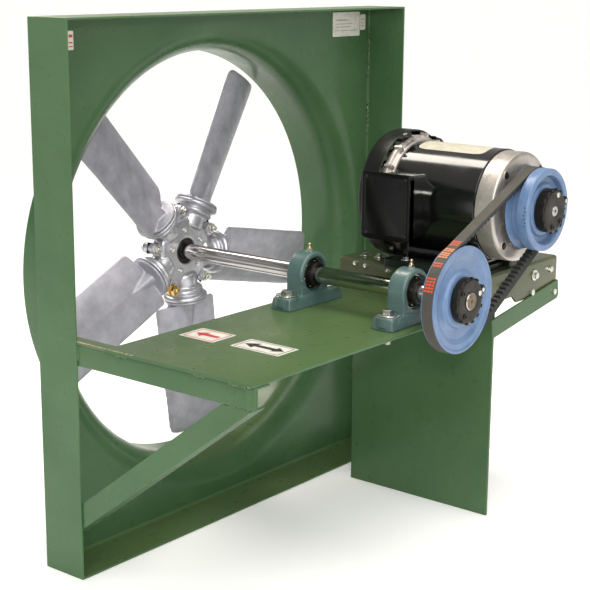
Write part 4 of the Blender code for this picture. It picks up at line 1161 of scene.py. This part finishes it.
def build_belt_print():
    """Blocks of small printed cells on the belt's back, with nothing to read in them."""
    line = belt_line(-BELT_PROUD - 0.0001, 2400)
    shape = Shape()
    blocks = ((0.966, 0.984, 0), (0.988, 0.9995, 1), (0.0, 0.018, 1), (0.024, 0.036, 0), (0.052, 0.08, 0))
    cell, gap, raised = 12, 3, 0.00012
    for start, end, skin in blocks:
        inside = [entry for entry in line if start <= entry[2] <= end]
        for base in range(0, len(inside) - cell, cell):
            for low in (-0.0072, -0.0022, 0.0028):
                edges = ((0.0, low), (0.0, low + 0.004), (raised, low + 0.004), (raised, low))
                rings = [
                    [at(p.x + n.x * d, BELT_OUT + o, p.y + n.y * d) for d, o in edges]
                    for p, n, _ in inside[base : base + cell - gap]
                ]
                shape.rings(rings, skin)
    shape.finish("belt_print", [BELT_RED, BELT_ORANGE], sharp=32)


# Motor ------------------------------------------------------------------------------------------------


def build_motor_shell():
    (back, front), r = outs("motor_shell"), radius_of("motor_shell")
    shape = Shape()
    profile = [
        (r - 0.004, front), (r - 0.0008, front), (r, front - 0.0008), (r, back + 0.0008),
        (r - 0.0008, back), (r - 0.004, back)
    ]
    shape.turn(profile, MOTOR_AXIS, steps=160)
    shape.finish("motor_shell_tube", BLACK, "motor_shell", sharp=35)
    strip = Shape()
    rings = []
    for k in range(33):
        share = k / 32
        a = radians(80 + 34 * share)
        ease = 0.016 * (1 - sqrt(max(0.0, 1 - (2 * share - 1) ** 6)))
        start, end = 0.252 + ease, 0.37 - ease
        edge = ((r, start), (r, end), (r + 0.0003, end), (r + 0.0003, start))
        rings.append([at(MOTOR_X, out, MOTOR_Z) + ray(a) * reach for reach, out in edge])
    strip.rings(rings)
    strip.finish("motor_label", CREAM, sharp=30)


def build_end_bells():
    r, bolt_r = 0.082, 0.071
    front = Shape()
    profile = [
        (0.0205, 0.4205), (0.027, 0.423), (0.04, 0.423), (0.0445, 0.419), (0.049, 0.417), (0.06, 0.417),
        (0.064, 0.42), (r - 0.005, 0.42), (r - 0.0012, 0.4185), (r, 0.416), (r, 0.3882),
        (r - 0.006, 0.3882), (r - 0.006, 0.408), (0.0205, 0.4045)
    ]
    front.turn(rounded(profile, 0.0014, 3), MOTOR_AXIS, steps=160)
    ring = [
        (0.0056, 0.419), (0.008, 0.419), (0.008, 0.4205), (0.0072, 0.4212), (0.006, 0.4212),
        (0.0056, 0.4206)
    ]
    for angle in (47, 133, 227, 313):
        a = radians(angle)
        spot = MOTOR_AXIS + ray(a) * bolt_r
        front.turn(ring, spot, steps=40)
        # A dark disc under each bolt head, showing round it: painted shade in its pocket.
        front.disc([(0.0056, 0.4198), (0.0056, 0.4202)], spot, DRIVE_WARDS, 32, 1)
        front.hexagon(at(spot.x, 0.4196, spot.z), DRIVE_WARDS, 0.0046, 0.003, 2, a)
    for k in range(8):
        a = radians(45 * k + 22)
        local = placed(at(MOTOR_X, 0.417, MOTOR_Z), -a)
        front.box((0.047, -0.0024, -0.0016), (0.063, 0.001, 0.0016), 0, local)
    front.finish("motor_front_bell_casting", [BELL, DARK_AND_HOLE_SHADE, OXIDE], "motor_front_bell")
    rear = Shape()
    profile = [
        (0.0205, 0.2397), (0.0835, 0.2397), (0.0862, 0.2385), (0.0875, 0.233), (0.092, 0.23),
        (0.092, 0.2235), (0.0205, 0.2235)
    ]
    rear.turn(rounded(profile, 0.001, 3), MOTOR_AXIS, steps=144)
    for k in range(16):
        a = radians(22.5 * k + 11)
        local = placed(at(MOTOR_X, 0.231, MOTOR_Z), -a)
        rear.box((0.084, -0.0072, -0.0022), (0.0955, 0.007, 0.0022), 0, local)
    rear.finish("motor_rear_bell_casting", BELL, "motor_rear_bell", edge=0.0006)


def build_fan_cover():
    r, back, front = 0.1, 0.1862, 0.2225
    shape = Shape()
    outside = [
        (0.0024, front), (0.0004, front), (0, front - 0.0005), (0, back + 0.011), (0.0018, back + 0.0045),
        (0.0065, back + 0.0008), (0.012, back), (0.022, back)
    ]
    inside = [
        (0.022, back + 0.0022), (0.012, back + 0.0022), (0.0078, back + 0.0028), (0.0044, back + 0.006),
        (0.0024, back + 0.0115)
    ]
    shape.turn([(r - inset, out) for inset, out in outside + inside], MOTOR_AXIS, steps=144)
    for ring_r in (0.03, 0.042, 0.054, 0.066):
        rim = [(ring_r + u, back + 0.0011 + v) for u, v in oblong(0.0016, 0.001)]
        shape.turn(rounded(rim, 0.0005, 2), MOTOR_AXIS, steps=96)
    shape.disc([(0.022, back + 0.0022), (0.022, back + 0.0004), (0.02, back)], MOTOR_AXIS, steps=72)
    for k in range(12):
        local = placed(at(MOTOR_X, back + 0.0011, MOTOR_Z), radians(30 * k))
        shape.box((0.02, -0.001, -0.0018), (0.08, 0.001, 0.0018), 0, local)
    for angle in (52, 108, 232, 308):
        a = radians(angle)
        rings = []
        for k in range(9):
            b = a + radians(-7.5 + 15 * k / 8)
            tip = 0.2375 if 1 < k < 7 else 0.231
            strap = rectangle((r - 0.0024, front - 0.004), (r - 0.0002, tip))
            rings.append([at(MOTOR_X, out, MOTOR_Z) + ray(b) * reach for reach, out in strap])
        shape.rings(rings)
        shape.bolt(at(MOTOR_X, 0.229, MOTOR_Z) + ray(a) * (r - 0.0003), ray(a), 0.0036, 0.0026, skin=1)
    shape.finish("motor_fan_cover_drum", [COVER_BLACK, ZINC], "motor_fan_cover", sharp=38)


def build_conduit_box():
    low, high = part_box("conduit_box")
    cover_low, cover_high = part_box("conduit_cover")
    x0, face = low[0], cover_low[0]
    shell_r, half_height, rear_y = 0.084, 0.046, BACK_Y - 0.2405
    reach = MOTOR_X - sqrt(shell_r**2 - half_height**2) + 0.004

    def loop(x, mid, half, grow, radius):
        outline = rounded(oblong(half[0] + grow, half[1] + grow), radius, 5)
        return [Vector((x, mid[0] + u, mid[1] + v)) for u, v in outline]

    shape = Shape()
    for end, depth in ((high[1], x0 + 0.016), (rear_y, reach)):
        mid = (low[1] + end) / 2, (low[2] + high[2]) / 2
        half = (end - low[1]) / 2, (high[2] - low[2]) / 2
        levels = ((x0, -0.0015), (x0 + 0.001, 0.0), (x0 + 0.012, 0.0), (depth, -0.001))
        shape.rings([loop(x, mid, half, grow, 0.006) for x, grow in levels])
    shape.dimple_screw((x0 + 0.014, BACK_Y - 0.262, high[2]), UP, 0.0034, 1, 1)
    shape.finish("conduit_box_body", [BLACK, OXIDE], "conduit_box")
    lid = Shape()
    mid = middle("conduit_cover")[1:]
    half = [(b - a) / 2 for a, b in zip(cover_low[1:], cover_high[1:])]
    levels = [
        (cover_high[0], 0.0), (face + 0.0012, 0.0), (face + 0.0004, -0.0008), (face, -0.0022),
        (face, -0.006), (face + 0.0007, -0.007)
    ]
    lid.rings([loop(x, mid, half, grow, 0.006 + grow * 0.5) for x, grow in levels])
    for sy in (-1, 1):
        for sz in (-1, 1):
            spot = (face + 0.0006, mid[0] + sy * (half[0] - 0.0085), mid[1] + sz * (half[1] - 0.0085))
            lid.dimple_screw(spot, (-1, 0, 0), 0.0034, 1, 2)
    lid.finish("conduit_cover_lid", [BOX_BLACK, OXIDE, DARK_AND_HOLE_SHADE], "conduit_cover")
    knock = Shape()
    spot = Vector(((x0 + reach) / 2 - 0.004, BACK_Y - 0.268, low[2]))
    knock.turn([(0.0098, 0), (0.0112, 0), (0.0112, 0.0006), (0.0098, 0.0006)], spot, -UP, 48)
    knock.finish("conduit_knockout", BLACK, sharp=32)


def build_motor_feet():
    low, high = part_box("motor_foot")
    thick, seat_r = 0.0035, 0.0838
    arc = [radians(-46 - 88 * k / 16) for k in range(17)]
    outline = [(low[0] - MOTOR_X, 0.0), (high[0] - MOTOR_X, 0.0)]
    outline += [(seat_r * cos(a), MOTOR_Z - low[2] + seat_r * sin(a)) for a in arc]
    shape = Shape()
    for y in (low[1] + 0.004 + thick, high[1] - 0.004):
        upright = Matrix.Translation((MOTOR_X, y, low[2])) @ Matrix.Rotation(pi / 2, 4, "X")
        shape.prism(outline, upright, 0, thick)
    shape.slab(low, (high[0], high[1], low[2] + thick), 0.006, 5)
    shape.finish("motor_foot_cradle", BLACK, "motor_foot", edge=0.0006)
    low, high = (Vector(p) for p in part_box("motor_slide_plate"))
    rail = 0.04
    rails = Shape()
    rails.slab(low, (low.x + rail, high.y, high.z), 0.004, 4)
    rails.slab((high.x - rail, low.y, low.z), high, 0.004, 4)
    rails.box(low + Vector((0.03, 0.012, 0.001)), high - Vector((0.03, 0.012, 0.004)))
    rails.finish("motor_slide_rails", BASE_DARK, "motor_slide_plate", edge=0.0008)
    for k in range(1, 5):
        x, y, _ = middle(f"slide_bolt_{k}")
        bolt = Shape()
        bolt.bolt((x, y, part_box(f"slide_bolt_{k}")[0][2]), UP, 0.0052, 0.0038, 0.0076, spin=k)
        bolt.finish(f"slide_bolt_{k}_head", ZINC, f"slide_bolt_{k}", edge=0.0002, sharp=50)


def build_motor_rotor():
    (back, front), r = outs("motor_shaft"), radius_of("motor_shaft")
    shape = Shape()
    shape.disc(bar(r, back, front, 0.0008), MOTOR_AXIS, steps=64)
    # A dark disc on the shaft's end: the centre hole's painted shade.
    shape.disc([(0.0022, front), (0.0022, front + 0.0002)], MOTOR_AXIS, DRIVE_WARDS, 24, 1)
    shape.finish("motor_shaft_bar", [SHAFT, DARK_AND_HOLE_SHADE], "motor_shaft", body="motor_rotor", sharp=30)
    fan = Shape()
    sleeve, plate = rectangle((0.0083, 0.197), (0.018, 0.215)), rectangle((0.017, 0.2128), (0.078, 0.2148))
    fan.turn(rounded(sleeve, 0.001, 3), MOTOR_AXIS, steps=72)
    fan.turn(rounded(plate, 0.0006, 2), MOTOR_AXIS, steps=96)
    for k in range(12):
        local = placed(at(MOTOR_X, 0.206, MOTOR_Z), radians(30 * k))
        fan.box((0.017, -0.0078, -0.0009), (0.079, 0.0075, 0.0009), 0, local)
    fan.finish("cooling_fan_wheel", COVER_BLACK, "cooling_fan", body="motor_rotor", edge=0.0003)


# Labels -----------------------------------------------------------------------------------------------


def label(name, matrix, width, height, skins, draw):
    """A thin sticker in its own XY plane with a border, and whatever draw adds to it."""
    shape = Shape()
    lift = 0.00018
    outline = rounded(oblong(width / 2, height / 2), 0.002, 3)
    shape.prism(outline, matrix, 0.00002, lift)
    draw(shape, matrix, lift)
    shape.finish(name, skins)


def border(shape, matrix, width, height, line, lift):
    a, b = width / 2, height / 2
    strips = ((-a, -b, a, -b + line), (-a, b - line, a, b), (-a, -b, -a + line, b), (a - line, -b, a, b))
    for x0, y0, x1, y1 in strips:
        shape.box((x0, y0, lift), (x1, y1, lift + 0.00008), 1, matrix)


def build_labels():
    def first(shape, matrix, lift):
        border(shape, matrix, 0.043, 0.055, 0.002, lift)
        points = [
            (-0.004, -0.021), (0.004, -0.021), (0.005, 0.004), (0.012, 0.004), (0.001, 0.021),
            (-0.011, 0.006), (-0.005, 0.005)
        ]
        shape.prism(points, matrix, lift, lift + 0.0001, 1)

    def second(shape, matrix, lift):
        border(shape, matrix, 0.038, 0.076, 0.0014, lift)
        right = [(0.011, -0.018), (0.0045, -0.018), (0.0045, 0.014), (0.012, 0.014)]
        left = [(-x, y) for x, y in reversed(right)]
        shape.prism([(0.0, -0.034), *right, (0.0, 0.034), *left], matrix, lift, lift + 0.0001, 1)

    rear = Matrix.Translation(at(-0.2385, 0.1863, SHELF_TOP))
    front = Matrix.Translation(at(-0.237, 0.2873, SHELF_TOP))
    label("shelf_label_turning", rear, 0.0495, 0.0632, [PAPER, PAPER_RED], first)
    label("shelf_label_direction", front, 0.0442, 0.0838, [PAPER, PAPER_BLACK], second)
    build_panel_labels()


def build_panel_labels():
    """Printed lines on the panel's front. Each is its lower edge, its start, its end and its thickness."""
    rating = [
        (0.006, -0.03, 0.006, 0.0022), (0.0, -0.03, 0.018, 0.0014), (-0.005, -0.03, 0.012, 0.0014),
        (-0.011, -0.03, 0.03, 0.0014)
    ]
    right = [(0.004, -0.005, 0.005, 0.002), (-0.002, -0.005, 0.005, 0.0014), (-0.007, -0.005, 0.004, 0.0014)]
    left = [
        (0.004, -0.0035, 0.0035, 0.004), (-0.004, -0.0035, 0.0035, 0.002), (-0.009, -0.0035, 0.0035, 0.0016)
    ]
    for name, x, z, width, height, ink, lines in (
        ("rating", 0.3135, 0.7475, 0.0754, 0.04, PAPER_GREY, rating),
        ("small_right", 0.36, 0.75, 0.0152, 0.026, PAPER_GREY, right),
        ("small_left", -0.3085, 0.743, 0.01, 0.026, PAPER_RED, left),
    ):

        def draw(shape, matrix, lift):
            for y, start, end, thick in lines:
                shape.box((start, y, lift), (end, y + thick, lift + 0.00008), 1, matrix)

        label(f"panel_label_{name}", turn_to_xz(x, SHEET, z), width, height, [PAPER, ink], draw)


# Stage ------------------------------------------------------------------------------------------------


def build_stage():
    n = Nodes("pale_floor")
    color = n.blend(n.span(n.noise(0.6, 3.0), 0.3, 0.7), grey(0.93), grey(0.95))
    rough = n.span(n.noise(2.0, 3.0), 0.3, 0.7, 0.75, 0.85)
    skin = n.finish(color, rough, specular=0.1)
    n.shader.inputs["Emission Color"].default_value = (1, 1, 1, 1)
    n.shader.inputs["Emission Strength"].default_value = 0.16
    bpy.ops.mesh.primitive_plane_add(size=240.0, location=(0, 0, -0.0002))
    floor = bpy.context.object
    floor.name = "studio_floor"
    floor.data.materials.append(skin)


def add_light(name, kind, energy, color, direction, place=(0, 0, 0)):
    data = bpy.data.lights.new(name, kind)
    data.energy = energy
    data.color = color
    light = bpy.data.objects.new(name, data)
    bpy.context.scene.collection.objects.link(light)
    light.location = place
    light.rotation_euler = Vector(direction).to_track_quat("-Z", "Y").to_euler()
    return data


def area_light(name, place, target, size, energy, color):
    data = add_light(name, "AREA", energy, color, Vector(target) - Vector(place), place)
    data.shape = "RECTANGLE"
    data.size, data.size_y = size


def sun_light(name, direction, strength, spread, color):
    add_light(name, "SUN", strength, color, direction).angle = radians(spread)


def build_lights():
    """Wide suns for the room's own light, boxes for its lamps and the flash, and a sky to be reflected."""
    sun_light("sky_overhead", (0.25, 0.35, -1.0), 1.3, 70, (1.0, 0.99, 0.96))
    sun_light("sky_front", (0.7, 0.85, -0.9), 0.75, 50, (1.0, 0.99, 0.97))
    area_light("overhead_box", (0.25, -0.75, 2.1), (0.1, -0.1, 0.4), (1.8, 0.7), 8.0, (1.0, 0.94, 0.82))
    area_light("tube_box", (0.27, 0.75, 1.83), (0.2, -0.27, 0.5), (0.5, 1.5), 24.0, (1.0, 0.94, 0.84))
    area_light("left_box", (-1.6, -0.9, 1.9), (0.3, 0.0, 0.4), (0.8, 0.8), 5.0, (1.0, 1.0, 1.0))
    area_light("camera_flash", (-1.52, -1.42, 1.05), (0.0, -0.1, 0.4), (0.18, 0.12), 9.0, (1.0, 0.97, 0.9))
    world = bpy.data.worlds.new("studio")
    bpy.context.scene.world = world
    world.use_nodes = True
    tree = world.node_tree
    place = tree.nodes.new("ShaderNodeTexCoord")
    split = tree.nodes.new("ShaderNodeSeparateXYZ")
    ramp = tree.nodes.new("ShaderNodeValToRGB")
    tree.links.new(place.outputs["Generated"], split.inputs["Vector"])
    tree.links.new(split.outputs["Z"], ramp.inputs["Fac"])
    # White up to the horizon, dark just above it and lighter again overhead
    below, above = ramp.color_ramp.elements
    below.position, below.color = 0.06, (1.0, 1.0, 1.0, 1)
    above.position, above.color = 0.9, (0.45, 0.43, 0.4, 1)
    ramp.color_ramp.elements.new(0.14).color = (0.33, 0.34, 0.33, 1)
    tree.links.new(ramp.outputs["Color"], tree.nodes["Background"].inputs["Color"])
    tree.nodes["Background"].inputs["Strength"].default_value = 1.0


def build_camera():
    """The fixed view that the looks were matched in, rolled a little about its own line of sight."""
    forward = Vector((0.75752, 0.61123, -0.22934)).normalized()
    level = forward.cross(UP).normalized()
    upright = level.cross(forward)
    roll = radians(0.3695)
    right = level * cos(roll) + upright * sin(roll)
    above = upright * cos(roll) - level * sin(roll)
    data = bpy.data.cameras.new("camera")
    data.sensor_width = 36.0
    data.lens = 85.58
    camera = bpy.data.objects.new("camera", data)
    bpy.context.scene.collection.objects.link(camera)
    turn = Matrix((right, above, -forward)).transposed().to_4x4()
    camera.matrix_world = Matrix.Translation((-1.618, -1.4157, 0.8452)) @ turn
    bpy.context.scene.camera = camera
    bpy.context.scene.view_settings.view_transform = "Standard"
    bpy.context.scene.view_settings.look = "None"


def paint_kept_nodes():
    """The CAD solids that stay as they are, all hidden deep in the motor."""
    hidden = {"stator_core": LAMINATION, "rotor_core": LAMINATION}
    hidden |= {"motor_bearing_front": SHAFT, "motor_bearing_rear": SHAFT}
    for name, skin in hidden.items():
        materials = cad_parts[name].data.materials
        materials.clear()
        materials.append(skin)


def main():
    build_camera()
    build_stage()
    build_lights()
    paint_kept_nodes()
    build_panel()
    build_flanges()
    build_shelf()
    build_side_angle()
    build_left_brace()
    build_support_plate()
    build_right_brace()
    build_motor_base()
    for name in ("front", "rear"):
        build_pillow_block(name)
    for i in range(BLADES):
        build_blade(i)
    build_hub()
    build_fan_shaft()
    build_driven_sheave()
    build_motor_sheave()
    build_belt()
    build_motor_shell()
    build_end_bells()
    build_fan_cover()
    build_conduit_box()
    build_motor_feet()
    build_motor_rotor()
    build_labels()


main()
